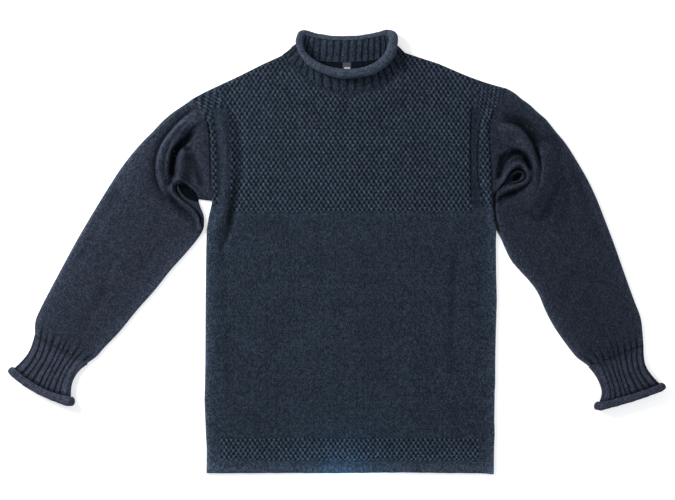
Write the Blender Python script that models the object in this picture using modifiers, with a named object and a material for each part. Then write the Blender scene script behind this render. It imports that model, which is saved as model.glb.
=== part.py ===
"""A fisherman's guernsey sweater laid flat on its back, front side up.

X runs across the garment, Y from hem to neck and Z up from the surface it lies on. The origin is on the
underside, near the middle of the body. Tables are in millimetres. "Left" is the side of negative X.

The sweater is knitted cloth about 3 mm thick. The front panel lies on the back panel, each sleeve is a
flattened tube that joins both along the armhole, and the neck and cuffs are ribbed tubes that end in a
curl of plain knitting. The sleeves were swung down from the shoulders, which pushes up the folds at
the underarms.
"""

import math
from collections import namedtuple

import bmesh
import bpy
import numpy as np
from mathutils import Matrix

MM = 0.001

# Cloth and seams
WALL = 3.0
SEAM_GAP = 0.3
NECK_SEAM_GAP = 0.5
CUFF_SEAM_GAP = 0.7
ROLL_SEAM_GAP = 0.8
ARMHOLE_GAP = 0.5
LOFT = 1.6
HOLLOW_LIMIT = 2.6
EDGE_ROUND = 7.0
EDGE_INSETS = (0.0, 1.4, 4.5)
EDGE_THICKNESS = 1.0
SEAM_DIP = 0.7
STITCH_RELIEF = 0.7
STITCH_STEP = 1.5
FOLD_FADE = 0.22
FOLD_BLUNT = 0.12

# Body
HEM_Y = -391.0
UNDERARM_Y = 86.0
CHEST_LEFT = -243.0
CHEST_RIGHT = 247.0
FLARE_REACH = 75.0
YOKE_Y = 64.7
WELT_LOW_Y = -367.0
WELT_HIGH_Y = -328.0
WELT_HALF_WIDTH = 225.0
STRIP_TOP_Y = 250.0
NECK_X = -10.0

# The smooth strips of the yoke, as distances from the left and right armholes
STRIP_LEFT = (10.5, 33.5)
STRIP_RIGHT = (21.0, 36.0)

# Sleeves: points across the upper and lower layers, and the share of the length that the armhole bends
SLEEVE_TOP = 26
SLEEVE_BOTTOM = 5
INSIDE_STEP = 3
FOLDED_SHARE = 0.42
FOLDED_SECTIONS = 15
PLAIN_SECTIONS = 8
BEND_REACH = 0.2

# Ribbing and rolled edges
NECK_RIBS = 36
CUFF_RIBS = 20
RIB_HEIGHT = 1.2
CURL_TURN = math.radians(262.0)
CURL_SECTIONS = 8
NECK_ROLL_COLUMNS = 48
NECK_ROWS = (0.0, 0.1, 0.32, 0.55, 0.78, 1.0)
CUFF_ROWS = 7
FLAT_SIDE_COLUMNS = 8
FOLD_COLUMNS = 6
INSIDE_CLEARANCE = 0.5
CURL_INSIDE_CLEARANCE = 1.2

# Label
LABEL_X = -5.0
LABEL_TOP_Y = 328.0
LABEL_WIDTH = 15.0
LABEL_LENGTH = 19.0
LABEL_THICKNESS = 0.9
LABEL_EDGE = 0.3

Side = namedtuple("Side", "y left right")
BODY_SIDES = (
    Side(-391.0, -251.0, 251.5),
    Side(-345.0, -250.5, 252.0),
    Side(-322.0, -252.0, 253.0),
    Side(-262.0, -254.5, 251.5),
    Side(-235.0, -253.5, 254.0),
    Side(-175.0, -252.8, 254.0),
    Side(-87.0, -252.5, 256.8),
    Side(0.0, -251.5, 254.6),
    Side(35.0, -250.5, 256.0),
    Side(61.0, -246.5, 253.5),
    Side(86.0, -240.0, 250.0),
)

Armhole = namedtuple("Armhole", "share left_x left_y right_x right_y")
ARMHOLE = (
    Armhole(0.00, -240.0, 86.0, 250.0, 86.0),
    Armhole(0.12, -240.7, 106.0, 248.5, 109.0),
    Armhole(0.28, -241.7, 132.0, 246.8, 140.0),
    Armhole(0.50, -243.2, 172.0, 245.2, 180.0),
    Armhole(0.67, -244.9, 203.0, 245.2, 211.0),
    Armhole(0.79, -249.0, 225.0, 248.5, 233.0),
    Armhole(0.90, -261.0, 245.0, 258.5, 257.0),
    Armhole(1.00, -276.0, 264.0, 275.0, 282.0),
)

Point = namedtuple("Point", "x y")
SHOULDERS = (
    Point(-276.0, 264.0),
    Point(-254.0, 276.0),
    Point(-224.0, 290.0),
    Point(-194.0, 304.0),
    Point(-152.0, 325.0),
    Point(-119.0, 340.0),
    Point(95.5, 345.0),
    Point(112.0, 339.5),
    Point(154.0, 326.0),
    Point(205.0, 304.0),
    Point(243.0, 290.5),
    Point(275.0, 282.0),
)
NECK_FRONT = (
    Point(-119.0, 340.0),
    Point(-108.0, 327.5),
    Point(-93.0, 312.0),
    Point(-75.0, 296.5),
    Point(-53.0, 283.0),
    Point(-30.0, 274.5),
    Point(-7.0, 271.0),
    Point(20.0, 273.0),
    Point(46.0, 280.5),
    Point(66.0, 290.0),
    Point(83.0, 304.0),
    Point(92.5, 321.0),
    Point(95.5, 345.0),
)
NECK_BACK = (
    Point(-119.0, 340.0),
    Point(-80.0, 333.5),
    Point(-40.0, 330.0),
    Point(-7.0, 329.0),
    Point(30.0, 331.0),
    Point(64.0, 335.5),
    Point(95.5, 345.0),
)

# A row for each soft fold of the cloth: crest or trough height, width to each side of the path, and path
Fold = namedtuple("Fold", "name height left_width right_width path")
BODY_FOLDS = (
    Fold("left armhole ridge", 4.5, 17, 15,
         ((-228, 252), (-222, 205), (-216, 155), (-217, 105), (-226, 60), (-240, 22))),
    Fold("left armhole trough", -1.7, 9, 13,
         ((-202, 240), (-193, 200), (-189, 155), (-193, 105), (-203, 60), (-216, 12))),
    Fold("right armhole ridge", 2.2, 11, 12,
         ((250, 262), (237, 225), (233, 190), (236, 140), (241, 96), (252, 52))),
    Fold("right armhole groove", -1.0, 6, 5,
         ((214, 255), (211, 210), (210, 150), (212, 75))),
    Fold("right body trough", -1.0, 15, 17,
         ((186, 10), (180, -60), (176, -130), (170, -200))),
    Fold("left body trough", -1.0, 14, 14,
         ((-222, 40), (-228, -40), (-226, -130), (-232, -210))),
    Fold("upper body trough", -0.7, 16, 16,
         ((-58, 50), (-52, 0), (-56, -50))),
    Fold("neck rise left", 3.2, 34, 30,
         ((-116, 318), (-84, 286), (-45, 262), (-7, 255))),
    Fold("neck rise right", 3.2, 30, 34,
         ((-7, 255), (35, 260), (74, 278), (100, 316))),
)
LEFT_SLEEVE_FOLDS = (
    Fold("left outer pleat", 12.0, 19, 10,
         ((-264, 244), (-283, 229), (-305, 207), (-321, 185), (-330, 161), (-332, 139), (-328, 116),
          (-317, 93))),
    Fold("left pleat trough", -4.0, 9, 8,
         ((-276, 204), (-289, 189), (-299, 179), (-307, 167), (-310.5, 152), (-311, 137), (-308, 125))),
    Fold("left inner bump", 8.5, 22, 13,
         ((-285, 180), (-293, 165), (-295, 144), (-299, 126), (-304, 112))),
    Fold("left cap trough", -2.0, 9, 9,
         ((-271, 176), (-266, 150), (-261, 127), (-256, 106))),
    Fold("left lower lip", 8.0, 8, 10,
         ((-312, 117), (-308, 101), (-292, 83), (-275, 70), (-264, 53), (-262, 32))),
    Fold("left forearm trough", -1.0, 16, 20,
         ((-292, 42), (-330, 6), (-372, -40))),
)
RIGHT_SLEEVE_FOLDS = (
    Fold("right crescent pleat", 12.5, 10, 21,
         ((256, 207), (276, 214), (294, 208), (308, 192), (318, 171), (324, 150), (323, 128), (316, 104),
          (302, 80))),
    Fold("right crescent body", 5.5, 16, 18,
         ((262, 190), (278, 195), (294, 188), (306, 174), (311, 158))),
    Fold("right shoulder trough", -1.2, 12, 14,
         ((262, 236), (290, 234), (316, 218), (336, 188))),
    Fold("right inner trough", -4.0, 8, 8,
         ((261, 117), (262, 140), (268, 160), (286, 171), (304, 168), (313, 150), (314, 136))),
    Fold("right inner loop", 9.0, 10, 11,
         ((250, 104), (267, 122), (276, 140), (293, 151), (306, 145), (310.5, 132), (302, 119), (281, 108),
          (262, 101))),
    Fold("right lower pocket", -2.5, 9, 8,
         ((264, 88), (280, 96), (296, 104))),
    Fold("right upper arm trough", -0.9, 18, 18,
         ((378, 130), (378, 90), (372, 45))),
    Fold("right elbow trough", -0.9, 24, 24,
         ((392, -30), (384, -62), (374, -92))),
)
FOLDS = BODY_FOLDS + LEFT_SLEEVE_FOLDS + RIGHT_SLEEVE_FOLDS

# A row for each section of a sleeve, from the armhole to the top of the cuff
Section = namedtuple("Section", "outer inner")
LEFT_SLEEVE = (
    Section((-287, 256), (-252, 87)),
    Section((-299, 248), (-264, 88)),
    Section((-313, 238), (-263.5, 82)),
    Section((-329, 224), (-261, 74)),
    Section((-346, 206), (-256, 61)),
    Section((-364, 188), (-255, 49)),
    Section((-383, 166), (-257, 35)),
    Section((-404, 138), (-267.5, 18)),
    Section((-427, 102), (-288.3, -7)),
    Section((-452, 61), (-314.2, -36)),
    Section((-476, 20), (-342, -71)),
    Section((-500, -24), (-373, -106)),
    Section((-523, -67), (-403, -143)),
    Section((-541, -102), (-428, -169)),
    Section((-550, -124), (-443, -186)),
    Section((-551, -147), (-458, -197)),
)
RIGHT_SLEEVE = (
    Section((287, 275), (251.9, 77)),
    Section((299, 265), (253.9, 65)),
    Section((313, 255), (255.5, 50)),
    Section((327, 242), (257.0, 34)),
    Section((343, 228), (263.8, 20)),
    Section((359, 208), (271.5, 2)),
    Section((378, 185), (282.3, -19)),
    Section((397, 155), (298.3, -37.8)),
    Section((416, 122), (316, -57.2)),
    Section((432, 88), (330, -78)),
    Section((448, 47), (341.6, -105.8)),
    Section((462, 10), (355.4, -132)),
    Section((474, -24), (369.6, -153.3)),
    Section((486, -58), (383.7, -172.5)),
    Section((498, -91), (396, -187.3)),
    Section((509, -122), (407.4, -196)),
    Section((513, -164), (417, -203)),
)

# A row for each section of a cuff, from the sleeve to the rolled edge; bow pushes its middle outwards
CuffSection = namedtuple("CuffSection", "outer inner middle_height half_thickness bow")
LEFT_CUFF = (
    CuffSection((-551, -147), (-458, -197.5), 3.2, 1.75, 0),
    CuffSection((-554, -163), (-472, -208), 4.6, 2.6, 1),
    CuffSection((-561, -180), (-482, -222), 7.6, 3.1, 3),
    CuffSection((-573, -195), (-487, -238), 10.2, 3.4, 6),
    CuffSection((-589, -210), (-488.0, -263), 11.9, 3.4, 7.5),
)
RIGHT_CUFF = (
    CuffSection((513, -164), (417, -203), 3.2, 1.75, 0),
    CuffSection((512, -182), (430, -219), 4.8, 2.6, 0),
    CuffSection((515, -201), (438, -236), 8.0, 3.1, 1),
    CuffSection((526, -219), (440, -252), 10.4, 3.4, 2),
    CuffSection((543.5, -238), (433.5, -272), 11.9, 3.4, 2),
)

# The neck's edge: where the middle of the wall starts to curl, how far it leans up from level there and
# how wide the curl is, from the left round the front to the back
NeckRim = namedtuple("NeckRim", "x y height lean curl")
NECK_RIM = (
    NeckRim(-84, 366, 15.0, 42, 5.2),
    NeckRim(-83, 353, 16.0, 42, 5.2),
    NeckRim(-77, 341, 17.0, 42, 5.4),
    NeckRim(-66, 330, 18.0, 42, 5.8),
    NeckRim(-51, 321, 18.6, 42, 6.3),
    NeckRim(-31, 314, 19.0, 42, 6.8),
    NeckRim(-7, 310.5, 19.2, 42, 7.0),
    NeckRim(17, 312.5, 19.0, 42, 7.0),
    NeckRim(36, 318, 18.6, 42, 7.2),
    NeckRim(51, 327, 18.0, 42, 7.6),
    NeckRim(62, 339, 17.2, 40, 8.0),
    NeckRim(68, 352, 16.4, 38, 8.0),
    NeckRim(70, 366, 15.2, 36, 7.2),
    NeckRim(62, 374, 13.2, 24, 5.8),
    NeckRim(44, 371, 12.4, 14, 5.2),
    NeckRim(18, 367, 12.2, 10, 5.2),
    NeckRim(-9, 365.5, 12.2, 10, 5.2),
    NeckRim(-35, 366.5, 12.2, 10, 5.2),
    NeckRim(-60, 370, 12.4, 14, 5.2),
    NeckRim(-77, 374, 13.2, 24, 5.2),
)
FRONT_RIM_SPANS = 12
CORNER_GAP = 2.6
CORNER_REACH = 0.055
CUFF_CURL = 5.3
CUFF_CURL_FLATTENING = 0.7
INNER_FOLD = 0.46
SWELL_REACH = 0.09
LEFT_SWELL = 0.32
RIGHT_SWELL = 0.2

NAVY = (0.030, 0.041, 0.062, 1.0)
NAVY_RIB = (0.038, 0.050, 0.074, 1.0)
LABEL_BLACK = (0.012, 0.012, 0.014, 1.0)


def spline(values, closed=False):
    """A Catmull-Rom curve through the rows of values, as a function of a share from 0 to 1."""
    rows = np.array(values, float)
    count = len(rows)
    spans = count if closed else count - 1

    def at(share):
        place = np.clip(np.atleast_1d(share), 0.0, 1.0) * spans
        first = np.minimum(place.astype(int), spans - 1)
        part = (place - first)[:, None]
        index = [first - 1, first, first + 1, first + 2]
        if closed:
            before, start, end, after = (rows[i % count] for i in index)
        else:
            before, start, end, after = (rows[np.clip(i, 0, count - 1)] for i in index)
        square = part * part
        cube = square * part
        return 0.5 * (
            2.0 * start
            + (end - before) * part
            + (2.0 * before - 5.0 * start + 4.0 * end - after) * square
            + (3.0 * (start - end) + after - before) * cube
        )

    return at


def along(points):
    """A straight-sided line through points, as a function of the share of its length."""
    corners = np.array(points, float)
    lengths = np.r_[0.0, np.cumsum(np.linalg.norm(np.diff(corners, axis=0), axis=1))]

    def at(share):
        place = np.atleast_1d(share) * lengths[-1]
        return np.stack([np.interp(place, lengths, c) for c in corners.T], axis=1)

    return at


def smoothstep(value):
    clipped = np.clip(value, 0.0, 1.0)
    return clipped * clipped * (3.0 - 2.0 * clipped)


def fold_height(fold, x, y):
    """How far one fold raises or lowers the cloth at the points x, y."""
    path = spline(fold.path)(np.linspace(0.0, 1.0, 25))
    best = np.full(x.shape, 1e9)
    side = np.zeros(x.shape)
    share = np.zeros(x.shape)
    steps = len(path) - 1
    for i in range(steps):
        start, step = path[i], path[i + 1] - path[i]
        part = ((x - start[0]) * step[0] + (y - start[1]) * step[1]) / (step @ step)
        part = np.clip(part, 0.0, 1.0)
        away_x = x - start[0] - part * step[0]
        away_y = y - start[1] - part * step[1]
        distance = np.hypot(away_x, away_y)
        nearer = distance < best
        best = np.where(nearer, distance, best)
        side = np.where(nearer, step[0] * away_y - step[1] * away_x, side)
        share = np.where(nearer, (i + part) / steps, share)
    width = np.where(side > 0.0, fold.left_width, fold.right_width)
    profile = smoothstep(1.0 - best / width)
    ends = smoothstep(np.minimum(share, 1.0 - share) / FOLD_FADE + FOLD_BLUNT)
    return fold.height * profile * ends


def lift(x, y):
    """Height of the upper layer above the least that two layers of cloth take up."""
    total = np.full(np.shape(x), LOFT)
    for fold in FOLDS:
        total = total + fold_height(fold, x, y)
    return np.maximum(total, 0.0)


def rounding(distance):
    """0 at a folded or free edge of the cloth, 1 where the cloth has its full height."""
    inward = np.clip(distance / EDGE_ROUND, 0.0, 1.0)
    return np.sqrt(1.0 - (1.0 - inward) ** 2)


def chest_columns(neck, extra):
    """X of the panel's columns at chest level: edge roundings, neck columns and those asked for."""
    left = [CHEST_LEFT + i for i in EDGE_INSETS]
    right = [CHEST_RIGHT - i for i in EDGE_INSETS]
    return sorted(left + [p.x for p in neck] + list(extra) + right)


def top_edge(x, neck):
    """Y of the panel's upper edge: shoulders and, between them, the neckline."""
    left = [p for p in SHOULDERS if p.x < neck[0].x]
    right = [p for p in SHOULDERS if p.x > neck[-1].x]
    edge = left + list(neck) + right
    return np.interp(x, [p.x for p in edge], [p.y for p in edge])


def both_sides(places):
    """The two grid lines between which each step of the stitch pattern rises."""
    return [place + side * STITCH_STEP for place in places for side in (-1.0, 1.0)]


HEM_ROWS = [HEM_Y + inset for inset in EDGE_INSETS]
BACK_ROWS = HEM_ROWS + [row.y for row in BODY_SIDES[1:-1]]
FRONT_ROWS = (
    HEM_ROWS
    + both_sides((WELT_LOW_Y, WELT_HIGH_Y))
    + [-270.0, -200.0, -130.0, -60.0, -5.0, 35.0]
    + both_sides((YOKE_Y,))
)


def side_x(y):
    """X of the body's left and right sides below the underarm."""
    heights = [row.y for row in BODY_SIDES]
    left = np.interp(y, heights, [row.left for row in BODY_SIDES])
    right = np.interp(y, heights, [row.right for row in BODY_SIDES])
    return left, right


def panel_plan(columns, lower_rows, neck):
    """Plan positions of a panel's grid, and the distance of each from the nearest folded or free edge."""
    column = np.array(columns)
    side = np.minimum(column - CHEST_LEFT, CHEST_RIGHT - column)
    left_weight = np.clip(1.0 - (column - CHEST_LEFT) / FLARE_REACH, 0.0, 1.0) ** 1.5
    right_weight = np.clip(1.0 - (CHEST_RIGHT - column) / FLARE_REACH, 0.0, 1.0) ** 1.5

    def spread(left, right):
        return column + (left - CHEST_LEFT) * left_weight + (right - CHEST_RIGHT) * right_weight

    rows = []
    for y in lower_rows:
        rows.append((spread(*side_x(y)), np.full(column.shape, y), np.minimum(side, y - HEM_Y)))

    shoulder = ARMHOLE[-1]
    top_y = top_edge(spread(shoulder.left_x, shoulder.right_x), neck)
    shares = [row.share for row in ARMHOLE]
    left_climb = [(row.left_y - UNDERARM_Y) / (shoulder.left_y - UNDERARM_Y) for row in ARMHOLE]
    right_climb = [(row.right_y - UNDERARM_Y) / (shoulder.right_y - UNDERARM_Y) for row in ARMHOLE]
    for row in ARMHOLE[:-1]:
        edge = np.where(column < NECK_X, np.interp(row.share, shares, left_climb),
                        np.interp(row.share, shares, right_climb))
        climb = edge + (row.share - edge) * np.clip(side / FLARE_REACH, 0.0, 1.0)
        y = UNDERARM_Y + (top_y - UNDERARM_Y) * climb
        rows.append((spread(row.left_x, row.right_x), y, np.full(column.shape, EDGE_ROUND)))

    x = spread(shoulder.left_x, shoulder.right_x)
    on_shoulder = (x <= neck[0].x) | (x >= neck[-1].x)
    left_y, left_x, right_y, right_x = np.array(ARMHOLE).T[[2, 1, 4, 3]]
    for inset in EDGE_INSETS[::-1]:
        left = np.interp(shoulder.left_y - inset, left_y, left_x)
        right = np.interp(shoulder.right_y - inset, right_y, right_x)
        distance = np.where(on_shoulder, inset, EDGE_ROUND)
        rows.append((spread(left, right), top_y - inset, distance))
    return [np.array(part) for part in zip(*rows)]


def in_stitch_pattern(x, y, from_left, from_right):
    """1 where the knitting is the raised moss pattern: welt band, yoke and armhole borders."""
    welt = (np.abs(x) < WELT_HALF_WIDTH) & (y > WELT_LOW_Y) & (y < WELT_HIGH_Y)
    strip_left = (from_left > STRIP_LEFT[0]) & (from_left < STRIP_LEFT[1]) & (y < STRIP_TOP_Y)
    strip_right = (from_right > STRIP_RIGHT[0]) & (from_right < STRIP_RIGHT[1]) & (y < STRIP_TOP_Y)
    border = ((from_left < STRIP_LEFT[0]) | (from_right < STRIP_RIGHT[0])) & (y < UNDERARM_Y)
    yoke = (y > YOKE_Y) & ~strip_left & ~strip_right & ~border
    return (welt | yoke).astype(float)


def wall_mesh(name, outer, inner, around, colour, fine_rim=None):
    """A closed wall between two grids of points, given as [row][column].

    The outer grid may have several columns for each column of the inner one. Then fine_rim can give the
    inner grid's last row with as many points as the outer grid has, for an edge that follows a curve.
    """
    mesh = bmesh.new()
    outside = [[mesh.verts.new(p * MM) for p in row] for row in outer]
    inside = [[mesh.verts.new(p * MM) for p in row] for row in inner]
    rims = [inside[0], inside[-1]]
    if fine_rim is not None:
        for vertex in inside.pop():
            mesh.verts.remove(vertex)
        rims[1] = [mesh.verts.new(p * MM) for p in fine_rim]

    def strip(fine, coarse):
        """Faces between two rows; the first may have several points for each one of the second."""
        step = round((len(fine) - 0.5) / (len(coarse) - 0.5))
        for c in range(len(coarse) if around else len(coarse) - 1):
            corners = [fine[(c * step + k) % len(fine)] for k in range(step + 1)]
            mesh.faces.new(corners + [coarse[(c + 1) % len(coarse)], coarse[c]])

    for grid in (outside, inside):
        for low, high in zip(grid, grid[1:]):
            strip(low, high)
    if fine_rim is not None:
        strip(rims[1], inside[-1])
        inside.append(rims[1])
    strip(outside[0], rims[0])
    strip(outside[-1], rims[1])
    if not around:
        for c in (0, -1):
            for i in range(len(outside) - 1):
                mesh.faces.new([outside[i][c], outside[i + 1][c], inside[i + 1][c], inside[i][c]])
    bmesh.ops.recalc_face_normals(mesh, faces=mesh.faces)
    if mesh.calc_volume(signed=True) < 0.0:
        bmesh.ops.reverse_faces(mesh, faces=mesh.faces)
    data = bpy.data.meshes.new(name)
    mesh.to_mesh(data)
    mesh.free()
    data.shade_smooth()
    data.set_sharp_from_angle(angle=math.radians(50.0))
    made = bpy.data.objects.new(name, data)
    data.materials.append(knit_material(colour))
    bpy.data.collections["guernsey_sweater"].objects.link(made)
    return made


def knit_material(colour):
    """Matt wool of one colour, shared by the pieces knitted in it."""
    name = {NAVY: "navy_knit", NAVY_RIB: "navy_rib", LABEL_BLACK: "label_black"}[colour]
    found = bpy.data.materials.get(name)
    if found:
        return found
    made = bpy.data.materials.new(name)
    made.use_nodes = True
    shader = made.node_tree.nodes["Principled BSDF"]
    shader.inputs["Base Color"].default_value = colour
    shader.inputs["Roughness"].default_value = 0.92
    shader.inputs["Metallic"].default_value = 0.0
    return made


def stacked(x, y, z):
    return np.stack([x, y, z], axis=-1)


def back_panel():
    """The back: one flat layer on the surface, with its side edges eased up."""
    columns = chest_columns(NECK_BACK, (-205.0, -163.0, 128.0, 160.0, 205.0))
    x, y, distance = panel_plan(columns, BACK_ROWS, NECK_BACK)
    under = (1.0 - rounding(distance)) * EDGE_THICKNESS
    return wall_mesh("back", stacked(x, y, np.full(x.shape, WALL)), stacked(x, y, under), False, NAVY)


FRONT_COLUMNS = chest_columns(
    NECK_FRONT,
    both_sides([CHEST_LEFT + place for place in STRIP_LEFT])
    + both_sides([CHEST_RIGHT - place for place in STRIP_RIGHT])
    + [-219.0, -193.0, -178.0, -150.0, 130.0, 165.0, 188.0, 200.0],
)


def front_panel():
    """The front, lying on the back, with its soft folds and the raised pattern of its yoke."""
    x, y, distance = panel_plan(FRONT_COLUMNS, FRONT_ROWS, NECK_FRONT)
    column = np.array(FRONT_COLUMNS)
    from_left = np.broadcast_to(column - CHEST_LEFT, x.shape)
    from_right = np.broadcast_to(CHEST_RIGHT - column, x.shape)
    height = lift(x, y)
    ease = rounding(distance)
    lower = WALL + SEAM_GAP + np.minimum(height, HOLLOW_LIMIT) * ease
    thickness = EDGE_THICKNESS + (WALL - EDGE_THICKNESS) * ease
    pattern = STITCH_RELIEF * in_stitch_pattern(x, y, from_left, from_right) * ease
    seam = SEAM_DIP * (np.minimum(from_left, from_right) < 1.0) * (y >= UNDERARM_Y)
    spare = np.maximum(height - HOLLOW_LIMIT, 0.0) * ease
    upper = lower + thickness + spare + pattern - seam
    inside = stacked(x, y, lower)
    return wall_mesh("front", stacked(x, y, upper), inside[:, ::2], False, NAVY, fine_rim=inside[-1])


def armhole_line(side):
    """The panels' edge along one armhole, from the underarm to the shoulder."""
    x, y, _ = panel_plan(chest_columns(NECK_BACK, ()), (), NECK_BACK)
    return along(stacked(x, y, 0.0 * x)[:, 0 if side < 0 else -1, :2])


def sleeve_sections(table, side, stations):
    """Plan lines across a sleeve from its outer to its inner edge, a function for each station."""
    first = armhole_line(side)
    ends = np.array([list(s.outer) + list(s.inner) for s in table], float)
    start = np.r_[first(1.0)[0], first(0.0)[0]]
    ends = np.vstack([start, ends])
    rows = spline(ends)(stations)
    steps = np.linspace(0.0, 1.0, 41)
    chord = first(1.0 - steps)
    bow = chord - chord[0] - (chord[-1] - chord[0]) * steps[:, None]
    sections = []
    for station, (ox, oy, ix, iy) in zip(stations, rows):
        fade = max(0.0, 1.0 - station / BEND_REACH)
        push = ARMHOLE_GAP * fade * np.array([side * 0.8, -0.6])

        def line(share, outer=(ox, oy), inner=(ix, iy), fade=fade, push=push):
            share = np.atleast_1d(share)
            flat = np.array(outer) + np.subtract(inner, outer) * share[:, None]
            bent = np.stack([np.interp(share, steps, b) for b in bow.T], axis=1)
            return flat + bent * fade ** 1.5 + push

        sections.append((line, math.hypot(ix - ox, iy - oy)))
    return sections


def softened(height):
    """A grid of heights averaged with its neighbours, so that folds keep smooth outlines."""
    for axis in (0, 1):
        before = np.roll(height, 1, axis)
        after = np.roll(height, -1, axis)
        mixed = (before + 2.0 * height + after) / 4.0
        keep = [slice(None)] * 2
        for end in (0, -1):
            keep[axis] = end
            mixed[tuple(keep)] = height[tuple(keep)]
        height = mixed
    return height


def sleeve(name, table, side):
    """One sleeve: a flattened tube with its folds raised in the upper layer."""
    folded = np.linspace(0.0, FOLDED_SHARE, FOLDED_SECTIONS)
    stations = np.r_[folded, np.linspace(FOLDED_SHARE, 1.0, PLAIN_SECTIONS + 1)[1:]]
    middle = WALL + SEAM_GAP / 2.0
    lines = sleeve_sections(table, side, stations)
    plans = []
    eases = []
    for line, length in lines:
        edge = np.array(EDGE_INSETS[1:]) / length
        top = np.r_[edge, np.linspace(0.0, 1.0, SLEEVE_TOP - 2)[1:-1], 1.0 - edge[::-1]]
        shares = np.r_[0.0, top, 1.0, np.linspace(1.0 - edge[0], edge[0], SLEEVE_BOTTOM)]
        plans.append((shares, line(shares)))
        eases.append(rounding(np.minimum(shares, 1.0 - shares) * length))
    ease = np.array(eases)
    plan = np.array([p for _, p in plans])
    height = softened(lift(plan[..., 0], plan[..., 1]))
    above = np.arange(plan.shape[1]) < SLEEVE_TOP + 2
    upper = middle + (2.0 * WALL + SEAM_GAP + height - middle) * ease
    outside = stacked(plan[..., 0], plan[..., 1], np.where(above, upper, middle * (1.0 - ease)))

    hollow = np.minimum(height, HOLLOW_LIMIT - SEAM_GAP)[:, ::INSIDE_STEP]
    above = above[::INSIDE_STEP]
    inside = []
    for (line, length), (shares, _), rise in zip(lines, plans, hollow):
        rim = WALL / length
        within = np.clip(shares, rim, 1.0 - rim)[::INSIDE_STEP]
        at_rim = (within <= rim) | (within >= 1.0 - rim)
        z = np.where(at_rim, middle, np.where(above, WALL + SEAM_GAP + rise, WALL))
        inside.append(stacked(*line(within).T, z))
    return wall_mesh(name, outside, np.array(inside), True, NAVY)


def tube_frames(surface, shares):
    """Points of a tube's middle surface with the outward normals there, for shares of the way round."""
    middle = surface(shares)
    nudge = 0.004
    round_step = surface(shares + nudge) - surface(shares - nudge)
    length_step = np.gradient(middle, axis=0)
    normal = np.cross(round_step, length_step)
    if (normal * (middle - middle.mean(axis=1, keepdims=True))).sum() < 0.0:
        normal = -normal
    return middle, normal / np.linalg.norm(normal, axis=-1, keepdims=True)


def ribbed_tube(name, surface, ribs):
    """A tube of two-by-two ribbing: each rib has a groove and a two-stitch crest."""
    shares = np.arange(3 * ribs) / (3.0 * ribs)
    middle, normal = tube_frames(surface, shares)
    rise = np.tile([0.0, RIB_HEIGHT, RIB_HEIGHT], ribs)[None, :, None]
    outer = middle + normal * (WALL / 2.0 + rise)
    inner = (middle - normal * WALL / 2.0)[:, ::3]
    outer[..., 2] = np.maximum(outer[..., 2], 0.0)
    inner[..., 2] = np.maximum(inner[..., 2], INSIDE_CLEARANCE)
    return wall_mesh(name, outer, inner, True, NAVY_RIB)


def rolled_edge(name, surface, shares, curl, flattening):
    """The plain edge that curls outwards from the end of a ribbed tube."""
    middle, normal = tube_frames(surface, shares)
    forward = middle[-1] - middle[-2]
    forward /= np.linalg.norm(forward, axis=-1, keepdims=True)
    start = middle[-1] + forward * ROLL_SEAM_GAP
    curl = np.broadcast_to(curl, shares.shape)[:, None]
    grids = []
    for offset in (WALL / 2.0, -WALL / 2.0):
        rows = []
        for turn in np.linspace(0.0, CURL_TURN, CURL_SECTIONS):
            out = (curl - (curl + offset) * math.cos(turn)) * flattening
            along_tube = (curl + offset) * math.sin(turn)
            rows.append(start + normal[-1] * out + forward * along_tube)
        grids.append(np.array(rows))
    outside, inside = grids
    outside[..., 2] = np.maximum(outside[..., 2], 0.0)
    inside[..., 2] = np.maximum(inside[..., 2], CURL_INSIDE_CLEARANCE)
    return wall_mesh(name, outside, inside, True, NAVY_RIB)


def rim_place(share):
    """Place in the rim table for a share of the way round; the front takes up half of the ribs."""
    share = share % 1.0
    back_spans = len(NECK_RIM) - FRONT_RIM_SPANS
    front = FRONT_RIM_SPANS * share * 2.0
    back = FRONT_RIM_SPANS + back_spans * (share - 0.5) * 2.0
    return np.where(share < 0.5, front, back) / len(NECK_RIM)


def neck_surface(share):
    """The middle surface of the neck ribbing: rows from the neckline to the curl."""
    share = share % 1.0
    front = along(NECK_FRONT)(share * 2.0)
    back = along(NECK_BACK[::-1])(share * 2.0 - 1.0)
    in_front = share < 0.5
    plan = np.where(in_front[:, None], front, back)
    rise = np.minimum(lift(front[:, 0], front[:, 1]), HOLLOW_LIMIT)
    from_corner = np.minimum(share % 0.5, 0.5 - share % 0.5) / CORNER_REACH
    blend = np.where(in_front, 1.0, 1.0 - smoothstep(from_corner))
    height = WALL / 2.0 + (WALL + SEAM_GAP + rise) * blend
    base = np.column_stack([plan, height])

    rim = spline([list(r) for r in NECK_RIM], closed=True)(rim_place(share))
    lean = np.radians(rim[:, 3:4])
    rim = rim[:, :3]
    reach = rim - base
    length = np.linalg.norm(reach, axis=1, keepdims=True)
    flat = reach[:, :2] / np.linalg.norm(reach[:, :2], axis=1, keepdims=True)
    leave = np.column_stack([flat, np.zeros(len(share))])
    arrive = np.column_stack([flat * np.cos(lean), np.sin(lean)])
    clear = NECK_SEAM_GAP + CORNER_GAP * np.clip(1.0 - from_corner, 0.0, 1.0)
    base = base + leave * clear[:, None]
    leave = base + leave * length / 3.0
    arrive = rim - arrive * length / 3.0
    rows = []
    for t in NECK_ROWS:
        rows.append(base * (1 - t) ** 3 + leave * 3 * t * (1 - t) ** 2
                    + arrive * 3 * t * t * (1 - t) + rim * t ** 3)
    return np.array(rows)


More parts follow.
